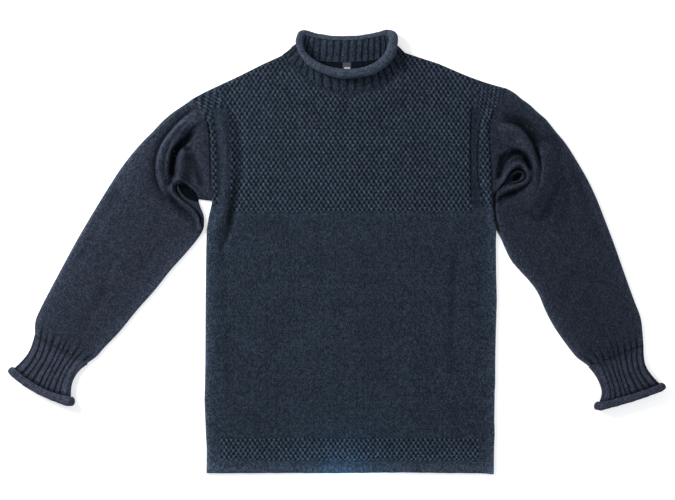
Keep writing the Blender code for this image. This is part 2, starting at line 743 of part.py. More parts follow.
def cuff_surface(table):
    """The middle surface of a cuff, a flattened tube through its sections, for shares round it."""
    data = [[*s.outer, *s.inner, s.middle_height, s.half_thickness, s.bow] for s in table]
    sections = spline(data)(np.linspace(0.0, 1.0, CUFF_ROWS))
    first, last = (np.add(s.outer, s.inner) / 2.0 for s in (table[0], table[-1]))
    forward = (last - first) / np.linalg.norm(last - first)

    def surface(share):
        rows = []
        for ox, oy, ix, iy, height, half, bow in sections:
            across = np.array([ix - ox, iy - oy])
            width = np.linalg.norm(across)
            across /= width
            straight = width - WALL - 2.0 * half
            arc = math.pi * half
            place = (share % 1.0) * 2.0 * (straight + arc)
            lower = place >= straight + arc
            place = np.where(lower, place - straight - arc, place)
            turn = np.maximum(place - straight, 0.0) / half
            offset = np.minimum(place, straight) - straight / 2.0 + half * np.sin(turn)
            rise = half * np.cos(turn)
            flip = np.where(lower, -1.0, 1.0)
            offset, rise = offset * flip, rise * flip
            push = CUFF_SEAM_GAP + bow * (1.0 - (2.0 * offset / width) ** 2)
            centre = np.array([ox + ix, oy + iy]) / 2.0
            plan = centre + np.outer(offset, across) + np.outer(push, forward)
            rows.append(np.column_stack([plan, height + rise]))
        return np.array(rows)

    return surface


def cuff_roll_shares(table):
    """Shares round a cuff's end: even along its flat sides and closer together at its two folds."""
    end = table[-1]
    straight = math.dist(end.outer, end.inner) - WALL - 2.0 * end.half_thickness
    flat = straight / (straight + math.pi * end.half_thickness) / 2.0
    along_fold = np.linspace(flat, 0.5, FOLD_COLUMNS)[1:-1]
    side = np.r_[np.linspace(0.0, flat, FLAT_SIDE_COLUMNS), along_fold]
    return np.r_[side, side + 0.5]


def cuff_curl(shares, swell):
    """How wide a cuff's curl is all round it; it swells at the inner fold."""
    return CUFF_CURL * (1.0 + swell * np.exp(-(((shares - INNER_FOLD) / SWELL_REACH) ** 2)))


def neck_label():
    """The small plain tab sewn inside the back of the neck."""
    bpy.ops.mesh.primitive_cube_add(size=1.0)
    made = bpy.context.object
    made.name = "neck_label"
    made.data.name = "neck_label"
    middle = (LABEL_X, LABEL_TOP_Y - LABEL_LENGTH / 2.0, WALL + SEAM_GAP + LABEL_THICKNESS / 2.0)
    made.location = [value * MM for value in middle]
    made.data.transform(
        Matrix.Diagonal((LABEL_WIDTH * MM, LABEL_LENGTH * MM, LABEL_THICKNESS * MM, 1.0))
    )
    bevel = made.modifiers.new("soft_edges", "BEVEL")
    bevel.width = LABEL_EDGE * MM
    bevel.segments = 2
    made.data.materials.append(knit_material(LABEL_BLACK))
    for owner in list(made.users_collection):
        owner.objects.unlink(made)
    bpy.data.collections["guernsey_sweater"].objects.link(made)
    return made


def main():
    for old in list(bpy.data.objects):
        bpy.data.objects.remove(old)
    collection = bpy.data.collections.new("guernsey_sweater")
    bpy.context.scene.collection.children.link(collection)

    back_panel()
    front_panel()
    sleeve("sleeve_left", LEFT_SLEEVE, -1)
    sleeve("sleeve_right", RIGHT_SLEEVE, 1)
    ribbed_tube("collar", neck_surface, NECK_RIBS)
    shares = np.arange(NECK_ROLL_COLUMNS) / NECK_ROLL_COLUMNS
    curl = spline([list(r) for r in NECK_RIM], closed=True)(rim_place(shares))[:, 4]
    rolled_edge("neck_roll", neck_surface, shares, curl, 1.0)
    for name, table, swell in (("left", LEFT_CUFF, LEFT_SWELL), ("right", RIGHT_CUFF, RIGHT_SWELL)):
        surface = cuff_surface(table)
        shares = cuff_roll_shares(table)
        ribbed_tube(f"cuff_{name}", surface, CUFF_RIBS)
        curl = cuff_curl(shares, swell)
        rolled_edge(f"cuff_roll_{name}", surface, shares, curl, CUFF_CURL_FLATTENING)
    neck_label()


main()
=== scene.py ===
"""Looks of a fisherman's guernsey sweater laid flat on its back, front side up.

X runs across the garment, Y from hem to neck and Z up from the floor. Tables are in millimetres, and
the meshes are in metres. "Left" is the side of negative X.
"""

import math
from collections import namedtuple

import bmesh
import bpy
import numpy as np
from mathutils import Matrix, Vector


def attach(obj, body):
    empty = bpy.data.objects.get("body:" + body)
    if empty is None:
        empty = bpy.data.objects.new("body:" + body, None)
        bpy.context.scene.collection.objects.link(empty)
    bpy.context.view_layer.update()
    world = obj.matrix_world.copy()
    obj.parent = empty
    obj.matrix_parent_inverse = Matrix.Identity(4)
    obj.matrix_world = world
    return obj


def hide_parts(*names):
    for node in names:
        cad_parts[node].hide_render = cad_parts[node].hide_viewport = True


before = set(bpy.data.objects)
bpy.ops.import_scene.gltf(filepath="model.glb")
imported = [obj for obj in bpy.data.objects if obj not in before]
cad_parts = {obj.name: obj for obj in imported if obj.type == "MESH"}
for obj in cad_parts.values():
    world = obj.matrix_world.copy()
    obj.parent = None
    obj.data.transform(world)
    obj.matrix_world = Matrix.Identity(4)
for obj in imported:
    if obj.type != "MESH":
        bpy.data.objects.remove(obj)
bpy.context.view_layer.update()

MM = 0.001

# Cloth and seams
WALL = 3.0
SEAM_GAP = 0.3
NECK_SEAM_GAP = 0.5
CUFF_SEAM_GAP = 0.7
ROLL_SEAM_GAP = 0.8
ARMHOLE_GAP = 0.5
LOFT = 1.6
HOLLOW_LIMIT = 2.6
EDGE_ROUND = 7.0
EDGE_THICKNESS = 1.0
SEAM_DIP = 0.7
FOLD_FADE = 0.22
FOLD_BLUNT = 0.12

# Body
HEM_Y = -391.0
UNDERARM_Y = 86.0
CHEST_LEFT = -243.0
CHEST_RIGHT = 247.0
FLARE_REACH = 75.0
YOKE_Y = 64.7
WELT_LOW_Y = -367.0
WELT_HIGH_Y = -328.0
WELT_HALF_WIDTH = 225.0
STRIP_TOP_Y = 250.0
NECK_X = -10.0

# The smooth strips of the yoke, as distances from the left and right armholes
STRIP_LEFT = (10.5, 33.5)
STRIP_RIGHT = (21.0, 36.0)

# Share of a sleeve's length over which its lines bend like the armhole, and the direction, for the right
# sleeve, in which it is set clear of the panels there
BEND_REACH = 0.2
ARMHOLE_PUSH = (0.8, -0.6)

# Ribbing and rolled edges
NECK_RIBS = 36
CUFF_RIBS = 20
RIB_HEIGHT = 1.2
CURL_TURN = math.radians(262.0)
INSIDE_CLEARANCE = 0.5
CURL_INSIDE_CLEARANCE = 1.2
FRONT_RIM_SPANS = 12
CORNER_GAP = 2.6
CORNER_REACH = 0.055
CUFF_CURL = 5.3
CUFF_CURL_FLATTENING = 0.7
INNER_FOLD = 0.46
OUTER_FOLD = -0.02
FOLD_REACH = 0.055
SWELL_REACH = 0.09
LEFT_SWELL = 0.32
RIGHT_SWELL = 0.2

# Label
LABEL_X = -5.0
LABEL_TOP_Y = 328.0
LABEL_WIDTH = 15.0
LABEL_LENGTH = 19.0
LABEL_THICKNESS = 0.9
MARK_Y = LABEL_TOP_Y - 11.5
MARK_HALF_WIDTH = 5.0
MARK_HALF_HEIGHT = 3.2

# How fine the grids are: rows to a whole armhole, points of a panel to one of its plain inside, columns
# across a sleeve, rows along the neck and the cuffs, columns to a rib, columns and rows of the curls
ARMHOLE_ROWS = 200.0
PANEL_STEP = 12
BACK_STEP = 8
SLEEVE_OUTER_COLUMNS = 34
SLEEVE_INNER_COLUMNS = 92
COLLAR_ROWS = 34
CUFF_ROWS = 34
RIB_COLUMNS = 12
NECK_CURL_GRID = (260, 26)
CUFF_CURL_GRID = (200, 24)

# Stitches
WALE = 4.24
COURSE = 3.1
SEED_WIDTH = 8.4
SEED_LENGTH = 12.4
WELT_SEED_WIDTH = 8.26
WELT_SEED_LENGTH = 11.6
SEED_HEIGHT = 1.6
SEED_SLANT = 0.3
GATHER_REACH = 19.0
PIT_FLOOR = -4.6

# Light that the folds of the cloth hold back or add, as a share of the wool's own tone
SHADOW_GAIN = 0.95
CREST_GAIN = 0.16
PLAIN_SHADE = 0.42
LEE = (0.84, -0.54)
LEE_STEPS = ((5.0, 4.0), (10.0, 6.0), (17.0, 9.0))
LEE_SLOPE = 0.42
SLEEVE_LEE = 0.45

# Painted light at the edges: how much paler the cloth is at an edge, how far in that reaches, and how much
# more painted light the very edge takes, at a sleeve's outer and inner edge and at the left and right side of
# the body
Glow = namedtuple("Glow", "rise reach pile")
LEFT_SLEEVE_GLOW = (Glow(0.38, 18.0, 0.12), Glow(0.46, 9.0, 0.42))
RIGHT_SLEEVE_GLOW = (Glow(0.36, 8.5, 0.42), Glow(0.58, 9.5, 0.06))
BODY_GLOW = (Glow(0.46, 10.0, 0.06), Glow(0.36, 9.0, 0.5))
HEM_GLOW = (1.6, 16.0)

# Camera, floor and lights
CAMERA_HEIGHT = 4.0
VIEW_WIDTH = 1.18125
VIEW_X = -0.021875
SENSOR_WIDTH = 36.0
FLOOR_HALF_WIDTH = 15.0
FLOOR_Z = -0.0006
FLOOR_GLOW = 0.45
WORLD_LIGHT = 0.42
KEY_POWER = 62.0
FILL_POWER = 14.0
HEM_POWER = 0.04

# The wool's colour at a tone of 0, where painted shade is deepest, as in the pits
DARK_WOOL = (0.0010, 0.0028, 0.0048, 1.0)
PALE_FIBRE = (0.15, 0.17, 0.21, 1.0)
Yarn = namedtuple("Yarn", "name pale tint stitch_depth contrast")
YARNS = (
    Yarn("navy_wool", (0.054, 0.069, 0.105, 1.0), (0.046, 0.071, 0.105, 1.0), 0.45, 0.75),
    Yarn("navy_wool_arms", (0.060, 0.067, 0.107, 1.0), (0.050, 0.068, 0.097, 1.0), 0.45, 0.65),
    Yarn("navy_rib_wool", (0.060, 0.071, 0.110, 1.0), (0.050, 0.070, 0.100, 1.0), 0.35, 0.55),
    Yarn("navy_cuff_wool", (0.069, 0.072, 0.115, 1.0), (0.056, 0.072, 0.106, 1.0), 0.35, 0.55),
)


def table_of(kind, *values):
    """A table with named columns."""
    return tuple(kind(*v) for v in values)


Side = namedtuple("Side", "y left right")
BODY_SIDES = table_of(
    Side, (-391, -251, 251.5), (-345, -250.5, 252), (-322, -252, 253), (-262, -254.5, 251.5),
    (-235, -253.5, 254), (-175, -252.8, 254), (-87, -252.5, 256.8), (0, -251.5, 254.6), (35, -250.5, 256),
    (61, -246.5, 253.5), (86, -240, 250),
)

Armhole = namedtuple("Armhole", "share left_x left_y right_x right_y")
ARMHOLE = table_of(
    Armhole, (0, -240, 86, 250, 86), (0.12, -240.7, 106, 248.5, 109), (0.28, -241.7, 132, 246.8, 140),
    (0.5, -243.2, 172, 245.2, 180), (0.67, -244.9, 203, 245.2, 211), (0.79, -249, 225, 248.5, 233),
    (0.9, -261, 245, 258.5, 257), (1, -276, 264, 275, 282),
)

Point = namedtuple("Point", "x y")
SHOULDERS = table_of(
    Point, (-276, 264), (-254, 276), (-224, 290), (-194, 304), (-152, 325), (-119, 340), (95.5, 345),
    (112, 339.5), (154, 326), (205, 304), (243, 290.5), (275, 282),
)
NECK_FRONT = table_of(
    Point, (-119, 340), (-108, 327.5), (-93, 312), (-75, 296.5), (-53, 283), (-30, 274.5), (-7, 271),
    (20, 273), (46, 280.5), (66, 290), (83, 304), (92.5, 321), (95.5, 345),
)
NECK_BACK = table_of(
    Point, (-119, 340), (-80, 333.5), (-40, 330), (-7, 329), (30, 331), (64, 335.5), (95.5, 345),
)

# A row for each section of a sleeve, from the armhole to the top of the cuff
Section = namedtuple("Section", "outer inner")
LEFT_SLEEVE = table_of(
    Section, ((-287, 256), (-252, 87)), ((-299, 248), (-264, 88)), ((-313, 238), (-263.5, 82)),
    ((-329, 224), (-261, 74)), ((-346, 206), (-256, 61)), ((-364, 188), (-255, 49)),
    ((-383, 166), (-257, 35)), ((-404, 138), (-267.5, 18)), ((-427, 102), (-288.3, -7)),
    ((-452, 61), (-314.2, -36)), ((-476, 20), (-342, -71)), ((-500, -24), (-373, -106)),
    ((-523, -67), (-403, -143)), ((-541, -102), (-428, -169)), ((-550, -124), (-443, -186)),
    ((-551, -147), (-458, -197)),
)
RIGHT_SLEEVE = table_of(
    Section, ((287, 275), (250.2, 77)), ((299, 265), (252, 65)), ((313, 255), (253.9, 50)),
    ((327, 242), (256.4, 34)), ((343, 228), (263.8, 20)), ((359, 208), (271.5, 2)),
    ((378, 185), (282.3, -19)), ((397, 155), (298.3, -37.8)), ((416, 122), (316, -57.2)),
    ((432, 88), (330, -78)), ((448, 47), (341.6, -105.8)), ((462, 10), (355.4, -132)),
    ((474, -24), (369.6, -153.3)), ((486, -58), (383.7, -172.5)), ((498, -91), (396, -187.3)),
    ((509, -122), (407.4, -196)), ((513, -164), (417, -203)),
)

# A row for each section of a cuff, from the sleeve to the rolled edge; bow pushes its middle outwards
CuffSection = namedtuple("CuffSection", "outer inner middle_height half_thickness bow")
LEFT_CUFF = table_of(
    CuffSection, ((-551, -147), (-458, -197.5), 3.2, 1.75, 0), ((-554, -163), (-472, -208), 4.6, 2.6, 1),
    ((-561, -180), (-482, -222), 7.6, 3.1, 3), ((-573, -195), (-487, -238), 10.2, 3.4, 6),
    ((-589, -210), (-488, -263), 11.9, 3.4, 7.5),
)
RIGHT_CUFF = table_of(
    CuffSection, ((513, -164), (417, -203), 3.2, 1.75, 0), ((512, -182), (430, -219), 4.8, 2.6, 0),
    ((515, -201), (438, -236), 8, 3.1, 1), ((526, -219), (440, -252), 10.4, 3.4, 2),
    ((543.5, -238), (433.5, -272), 11.9, 3.4, 2),
)

# The neck's edge: where the middle of the wall starts to curl, how far it leans up from level there and
# how wide the curl is, from the left round the front to the back
NeckRim = namedtuple("NeckRim", "x y height lean curl")
NECK_RIM = table_of(
    NeckRim, (-84, 366, 15, 42, 5.2), (-83, 353, 16, 42, 5.2), (-77, 341, 17, 42, 5.4),
    (-66, 330, 18, 42, 5.8), (-51, 321, 18.6, 42, 6.3), (-31, 314, 19, 42, 6.8), (-7, 310.5, 19.2, 42, 7),
    (17, 312.5, 19, 42, 7), (36, 318, 18.6, 42, 7.2), (51, 327, 18, 42, 7.6), (62, 339, 17.2, 40, 8),
    (68, 352, 16.4, 38, 8), (70, 366, 15.2, 36, 7.2), (62, 374, 13.2, 24, 5.8), (44, 371, 12.4, 14, 5.2),
    (18, 367, 12.2, 10, 5.2), (-9, 365.5, 12.2, 10, 5.2), (-35, 366.5, 12.2, 10, 5.2),
    (-60, 370, 12.4, 14, 5.2), (-77, 374, 13.2, 24, 5.2),
)

# A row for each soft fold of the cloth: crest or trough height, width to each side of the path, and path
Fold = namedtuple("Fold", "name height left_width right_width path")
BODY_FOLDS = table_of(
    Fold,
    ("left armhole ridge", 4.5, 17, 15, ((-228, 252), (-222, 205), (-216, 155), (-217, 105), (-226, 60),
     (-240, 22))),
    ("left armhole trough", -1.7, 9, 13, ((-202, 240), (-193, 200), (-189, 155), (-193, 105), (-203, 60),
     (-216, 12))),
    ("right armhole ridge", 2.2, 11, 12, ((250, 262), (237, 225), (233, 190), (236, 140), (241, 96),
     (252, 52))),
    ("right armhole groove", -1, 6, 5, ((214, 255), (211, 210), (210, 150), (212, 75))),
    ("right body trough", -1, 15, 17, ((186, 10), (180, -60), (176, -130), (170, -200))),
    ("left body trough", -1, 14, 14, ((-222, 40), (-228, -40), (-226, -130), (-232, -210))),
    ("upper body trough", -0.7, 16, 16, ((-58, 50), (-52, 0), (-56, -50))),
    ("neck rise left", 3.2, 34, 30, ((-116, 318), (-84, 286), (-45, 262), (-7, 255))),
    ("neck rise right", 3.2, 30, 34, ((-7, 255), (35, 260), (74, 278), (100, 316))),
)
LEFT_SLEEVE_FOLDS = table_of(
    Fold,
    ("left outer pleat", 12, 19, 10, ((-264, 244), (-283, 229), (-305, 207), (-321, 185), (-330, 161),
     (-332, 139), (-328, 116), (-317, 93))),
    ("left pleat trough", -4, 9, 8, ((-276, 204), (-289, 189), (-299, 179), (-307, 167), (-310.5, 152),
     (-311, 137), (-308, 125))),
    ("left inner bump", 8.5, 22, 13, ((-285, 180), (-293, 165), (-295, 144), (-299, 126), (-304, 112))),
    ("left cap trough", -2, 9, 9, ((-271, 176), (-266, 150), (-261, 127), (-256, 106))),
    ("left lower lip", 8, 8, 10, ((-312, 117), (-308, 101), (-292, 83), (-275, 70), (-264, 53), (-262, 32))),
    ("left forearm trough", -1, 16, 20, ((-292, 42), (-330, 6), (-372, -40))),
)
RIGHT_SLEEVE_FOLDS = table_of(
    Fold,
    ("right crescent pleat", 12.5, 10, 21, ((256, 207), (276, 214), (294, 208), (308, 192), (318, 171),
     (324, 150), (323, 128), (316, 104), (302, 80))),
    ("right crescent body", 5.5, 16, 18, ((262, 190), (278, 195), (294, 188), (306, 174), (311, 158))),
    ("right shoulder trough", -1.2, 12, 14, ((262, 236), (290, 234), (316, 218), (336, 188))),
    ("right inner trough", -4, 8, 8, ((261, 117), (262, 140), (268, 160), (286, 171), (304, 168), (313, 150),
     (314, 136))),
    ("right inner loop", 9, 10, 11, ((250, 104), (267, 122), (276, 140), (293, 151), (306, 145), (310.5, 132),
     (302, 119), (281, 108), (262, 101))),
    ("right lower pocket", -2.5, 9, 8, ((264, 88), (280, 96), (296, 104))),
    ("right upper arm trough", -0.9, 18, 18, ((378, 130), (378, 90), (372, 45))),
    ("right elbow trough", -0.9, 24, 24, ((392, -30), (384, -62), (374, -92))),
)
FOLDS = BODY_FOLDS + LEFT_SLEEVE_FOLDS + RIGHT_SLEEVE_FOLDS

# Finer folds of the scene, on top of those that the solids have
DETAIL_FOLDS = table_of(
    Fold,
    ("left cap fill", 3.4, 22, 19, ((-249, 256), (-258, 236), (-264, 216), (-267, 196), (-267, 178),
     (-264, 158), (-260, 136))),
    ("left pleat body", 4.4, 12, 7, ((-262, 236), (-275, 224), (-294, 204), (-308.5, 184), (-317, 162),
     (-319, 141), (-316, 118))),
    ("left pleat edge", 2.6, 7, 4.5, ((-284, 234), (-300, 218), (-316, 200), (-328, 182), (-336, 161),
     (-337, 140), (-333, 118))),
    ("left pleat shadow", -3.6, 9, 7, ((-272, 208), (-285, 192), (-297, 181), (-305.5, 169), (-309.5, 153),
     (-310.5, 137), (-307.5, 124))),
    ("left bump top", 2.4, 12, 9, ((-286, 176), (-293, 162), (-295, 142), (-299, 127), (-304, 116))),
    ("left cap shadow", -2.4, 12, 12, ((-282, 182), (-274, 162), (-268, 143), (-262, 124), (-255, 106))),
    ("left seam line", -2.2, 3, 3, ((-252, 238), (-247, 215), (-245, 190), (-244, 160), (-243.5, 130),
     (-243, 98))),
    ("left yoke shadow", -2.4, 9, 12, ((-208, 246), (-199, 205), (-195, 155), (-198, 105), (-208, 60),
     (-220, 12))),
    ("left underarm shadow", -1.5, 8, 9, ((-204, 80), (-208, 52), (-214, 28), (-224, 2))),
    ("left strip crest", 1.2, 12, 12, ((-227, 238), (-221, 200), (-219, 155), (-221, 105), (-230, 60))),
    ("left lip", 3.8, 4, 4, ((-306, 123), (-311, 109), (-305, 94), (-290, 82), (-276, 72), (-266, 58),
     (-262, 40))),
    ("left lip line", -7, 2, 2, ((-299, 118), (-304, 107), (-297, 93), (-282, 80.5), (-269, 69.5), (-262, 57),
     (-260.4, 44))),
    ("left upper rim", 4.2, 6, 4.5, ((-306, 121), (-296, 122), (-282, 114), (-268, 102), (-257, 92))),
    ("left upper rim line", -5.5, 1.9, 1.9, ((-297, 117.5), (-287, 113.5), (-276, 105.5), (-266, 96))),
    ("left under shadow", -2, 13, 12, ((-313, 92), (-302, 76), (-289, 62), (-279, 46))),
    ("right crescent edge", 2.4, 4, 10, ((252, 219), (270, 221), (288, 215), (303, 202), (315, 187),
     (322, 172))),
    ("right of crescent", -0.8, 13, 5, ((262, 230), (282, 229), (300, 221), (314, 207), (326, 189),
     (334, 168), (337, 148))),
    ("right outer fill", 8.5, 34, 13, ((330, 190), (338, 166), (338, 140), (332, 114), (321, 90), (306, 68))),
    ("right inner groove", -4.6, 10, 10, ((280, 170), (271, 162), (266.5, 151), (265, 138), (260, 122))),
    ("right plateau edge", 1.6, 10, 10, ((270, 184), (284, 184), (298, 180), (309, 172))),
    ("right loop shadow", -6.5, 6, 7.5, ((268, 148), (275, 161), (288.6, 169.5), (301.7, 168), (309.5, 160),
     (313, 147), (313.5, 134))),
    ("right loop crest", 3.2, 5.5, 4.5, ((257, 109), (266, 121), (275, 136), (285, 146), (296, 149),
     (306.5, 142.5), (311, 131), (307, 119), (294, 111), (278, 107))),
    ("right loop line", -6.5, 2, 2, ((256, 101), (264, 111), (273, 121.6), (280, 134), (290, 141.5),
     (301.5, 139), (306.5, 129.5), (300, 120.5), (288.6, 116.6), (277, 113.5))),
    ("right pocket", -3.8, 7, 20, ((256, 80), (266, 92), (279, 99), (291, 104))),
    ("right seam groove", -6, 5, 6, ((257, 104), (253, 94), (252.5, 74), (255, 54), (258.5, 40), (262, 26))),
    ("right strip line", -1.8, 2, 2, ((211.5, 252), (211, 220), (210.5, 180), (210.5, 140), (211, 84))),
    ("right strip shadow", -1, 10, 10, ((219, 250), (217, 200), (216, 150), (219, 100), (226, 64))),
    ("right braid line", -1.8, 2.4, 2.2, ((230, 236), (227, 219), (224, 192), (223, 166), (223, 135),
     (227, 108), (232, 88), (236, 70))),
    ("right armhole line", -1.4, 2.2, 2.2, ((247, 226), (243, 211), (244, 190), (246, 160), (247.6, 130),
     (250, 98))),
)

# Long, low and uneven creases of cloth that has been lying
CREASES = table_of(
    Fold,
    ("chest sag", 0.9, 38, 46, ((-150, 40), (-120, -30), (-128, -110))),
    ("belly", -0.9, 40, 34, ((20, 20), (44, -60), (36, -150), (60, -240))),
    ("low left", 0.8, 30, 42, ((-180, -140), (-150, -220), (-160, -300))),
    ("low right", 0.9, 36, 26, ((120, -120), (104, -210), (118, -290))),
    ("hem lift", 0.7, 30, 24, ((-90, -350), (-10, -356), (70, -350))),
    ("yoke left", 0.8, 30, 30, ((-150, 240), (-130, 180), (-140, 120))),
    ("yoke right", -0.7, 34, 26, ((110, 250), (128, 180), (116, 110))),
    ("left forearm", 1.1, 16, 20, ((-340, 70), (-380, 0), (-430, -70))),
    ("left wrist", -1.1, 12, 14, ((-420, -60), (-450, -105), (-470, -150))),
    ("left outer arm", -1, 16, 14, ((-400, 120), (-440, 50), (-480, -30))),
    ("right forearm", 1.1, 18, 16, ((340, 60), (370, -10), (410, -90))),
    ("right wrist", -1.1, 14, 12, ((410, -70), (430, -120), (450, -160))),
    ("right outer arm", -1, 14, 16, ((380, 170), (410, 90), (440, 10))),
)

# Painted shade where the cloth is darker than its height alone tells, as in the depths of the folds at the
# underarms, and painted highlight where the value is below 0, as on crests; first on the sleeves, then on the
# body
DEPTHS = table_of(
    Fold,
    ("left trough", 1.9, 6.5, 6.5, ((-288, 186), (-297, 183.5), (-304, 179), (-309, 170), (-310.5, 158),
     (-310.5, 141), (-311, 127))),
    ("left trough head", -1, 8, 8, ((-264, 228), (-273, 217), (-283, 205.5), (-293, 193.5))),
    ("left trough end", 0.5, 7, 10, ((-271, 209), (-277, 200), (-285, 190))),
    ("left pleat side", -0.55, 6, 5, ((-290, 205), (-301, 194), (-310, 181), (-316, 165), (-317.5, 148))),
    ("left above bump", 1, 5.5, 5.5, ((-305, 182), (-293, 179), (-279, 176))),
    ("left beside bump", 0.35, 11, 11, ((-272, 158), (-267, 138), (-261, 114))),
    ("left pleat crest", -0.35, 4, 5, ((-284, 235), (-301.5, 219), (-316, 204), (-328, 185), (-335.5, 164),
     (-337.5, 142))),
    ("right arc", 0.95, 5.5, 6.5, ((270, 154), (275.5, 162), (284.6, 171), (296.4, 172), (306.9, 164),
     (311.6, 151), (313.4, 138))),
    ("right inner patch", 0.9, 7, 8, ((258, 170), (264, 161), (266, 150), (263, 138))),
    ("right loop crest", -0.38, 4.5, 4.5, ((255, 106), (265, 119), (274, 135), (286, 145.5), (299, 147.5),
     (308, 140))),
    ("right crescent foot", -0.75, 7, 7, ((329, 180), (332.5, 160), (332.5, 138), (327, 114), (318, 94))),
    ("right loop inside", -1, 2.6, 2.6, ((274, 122), (284, 133), (295, 138), (303, 134))),
    ("right pocket", 0.55, 5, 14, ((258, 86), (270, 97), (284, 104))),
)
BODY_DEPTHS = table_of(
    Fold,
    ("left body line", 0.26, 9, 9, ((-228, 48), (-223, -20), (-220, -90), (-217, -180), (-214, -250))),
    ("right body line", 0.2, 9, 9, ((186, 50), (181, -20), (178, -90), (177, -170), (180, -240))),
    ("right edge line", 0.12, 7, 7, ((228, 20), (226, -60), (222, -140))),
    ("middle", 0.05, 50, 60, ((30, 30), (50, -80), (40, -180))),
)
NECK_SEAM = Fold("neck seam", 1.0, 7, 7, NECK_FRONT)

Pit = namedtuple("Pit", "x y length width turn depth")
PITS = table_of(
    Pit, (-281.5, 99.5, 25, 10.5, -40, 17), (291.6, 127.4, 10.5, 6.6, 38, 14),
)


def spline(values, closed=False):
    """A Catmull-Rom curve through the rows of values, as a function of a share from 0 to 1."""
    rows = np.array(values, float)
    count = len(rows)
    spans = count if closed else count - 1

    def at(share):
        place = np.clip(np.atleast_1d(share), 0.0, 1.0) * spans
        first = np.minimum(place.astype(int), spans - 1)
        part = (place - first)[:, None]
        index = [first - 1, first, first + 1, first + 2]
        if closed:
            before, start, end, after = (rows[i % count] for i in index)
        else:
            before, start, end, after = (rows[np.clip(i, 0, count - 1)] for i in index)
        bend = 2.0 * before - 5.0 * start + 4.0 * end - after
        twist = 3.0 * (start - end) + after - before
        return 0.5 * (2.0 * start + (end - before) * part + bend * part ** 2 + twist * part ** 3)

    return at


def along(points):
    """A straight-sided line through points, as a function of the share of its length."""
    corners = np.array(points, float)
    lengths = running(norms(np.diff(corners, axis=0)))

    def at(share):
        place = np.atleast_1d(share) * lengths[-1]
        return np.stack([np.interp(place, lengths, c) for c in corners.T], axis=1)

    return at


def read(table, by, at, column):
    """A table's column, read off between its rows at places given as another column."""
    return np.interp(at, [getattr(r, by) for r in table], [getattr(r, column) for r in table])


def smoothstep(value):
    clipped = np.clip(value, 0.0, 1.0)
    return clipped * clipped * (3.0 - 2.0 * clipped)


def bell(distance, reach):
    """1 at no distance, fading out over the reach."""
    return np.exp(-((distance / reach) ** 2))


def norms(vectors):
    return np.linalg.norm(vectors, axis=-1, keepdims=True)


def running(steps):
    """The way gone after each step, from 0."""
    return np.r_[0.0, np.cumsum(steps)]


def rounding(distance):
    """0 at a folded or free edge of the cloth, 1 where the cloth has its full height."""
    inward = np.clip(distance / EDGE_ROUND, 0.0, 1.0)
    return np.sqrt(1.0 - (1.0 - inward) ** 2)


def top_edge(x, neck):
    """Y of the panel's upper edge: shoulders and, between them, the neckline."""
    beside = [p for p in SHOULDERS if not neck[0].x <= p.x <= neck[-1].x]
    return read(sorted(beside + list(neck)), "x", x, "y")


def fold_height(fold, x, y):
    """How far one fold raises or lowers the cloth at the points x, y."""
    path = spline(fold.path)(np.linspace(0.0, 1.0, 25))
    reach = max(fold.left_width, fold.right_width)
    low, high = path.min(axis=0) - reach, path.max(axis=0) + reach
    near = (x > low[0]) & (x < high[0]) & (y > low[1]) & (y < high[1])
    out = np.zeros(x.shape)
    if not near.any():
        return out
    px, py = x[near], y[near]
    best, side, share = np.full(px.shape, 1e9), np.zeros(px.shape), np.zeros(px.shape)
    steps = len(path) - 1
    for i in range(steps):
        start, step = path[i], path[i + 1] - path[i]
        part = np.clip(((px - start[0]) * step[0] + (py - start[1]) * step[1]) / (step @ step), 0.0, 1.0)
        away_x = px - start[0] - part * step[0]
        away_y = py - start[1] - part * step[1]
        distance = np.hypot(away_x, away_y)
        nearer = distance < best
        best = np.where(nearer, distance, best)
        side = np.where(nearer, step[0] * away_y - step[1] * away_x, side)
        share = np.where(nearer, (i + part) / steps, share)
    width = np.where(side > 0.0, fold.left_width, fold.right_width)
    ends = smoothstep(np.minimum(share, 1.0 - share) / FOLD_FADE + FOLD_BLUNT)
    out[near] = fold.height * smoothstep(1.0 - best / width) * ends
    return out


def total(folds, x, y):
    return sum(fold_height(fold, x, y) for fold in folds)


def lift(x, y):
    """Height of the upper layer above the least that two layers of cloth take up, as in the solids."""
    return np.maximum(LOFT + total(FOLDS, x, y), 0.0)


def waves(x, y):
    """Slow unevenness of cloth that lies on cloth."""
    first = np.sin(x / 31.0 + 1.3 * np.sin(y / 47.0)) * np.cos(y / 38.0 + 0.7)
    second = np.sin((x + 0.6 * y) / 19.0 + 2.1) * np.sin((y - 0.4 * x) / 23.0)
    return 0.28 * first + 0.16 * second


def pit_depth(x, y):
    """How deep the small almond-shaped pits between the folds at the underarms are."""
    depth = np.zeros(np.shape(x))
    for pit in PITS:
        turn = math.radians(pit.turn)
        along_pit = (x - pit.x) * math.cos(turn) + (y - pit.y) * math.sin(turn)
        across = -(x - pit.x) * math.sin(turn) + (y - pit.y) * math.cos(turn)
        narrow = np.clip(1.0 - (along_pit / pit.length) ** 2, 0.0, 1.0) * pit.width
        inside = np.clip(1.0 - np.abs(across) / np.maximum(narrow, 0.01), 0.0, 1.0)
        depth = depth + pit.depth * smoothstep(inside * 1.7)
    return depth


def surface_height(x, y):
    """Lift with the finer folds and creases, and the depth of the pits."""
    height = lift(x, y) + total(DETAIL_FOLDS, x, y) + total(CREASES, x, y) + waves(x, y)
    pits = pit_depth(x, y)
    return np.maximum(height - pits, PIT_FLOOR), pits


def blurred(field, cells):
    """A grid averaged over a box of cells to each side, twice."""
    for _ in range(2):
        for axis in (0, 1):
            size = [(0, 0), (0, 0)]
            size[axis] = (cells + 1, cells)
            padded = np.cumsum(np.pad(field, size, mode="edge"), axis=axis)
            width = 2 * cells + 1
            high = np.take(padded, range(width, padded.shape[axis]), axis=axis)
            low = np.take(padded, range(0, padded.shape[axis] - width), axis=axis)
            field = (high - low) / width
    return field


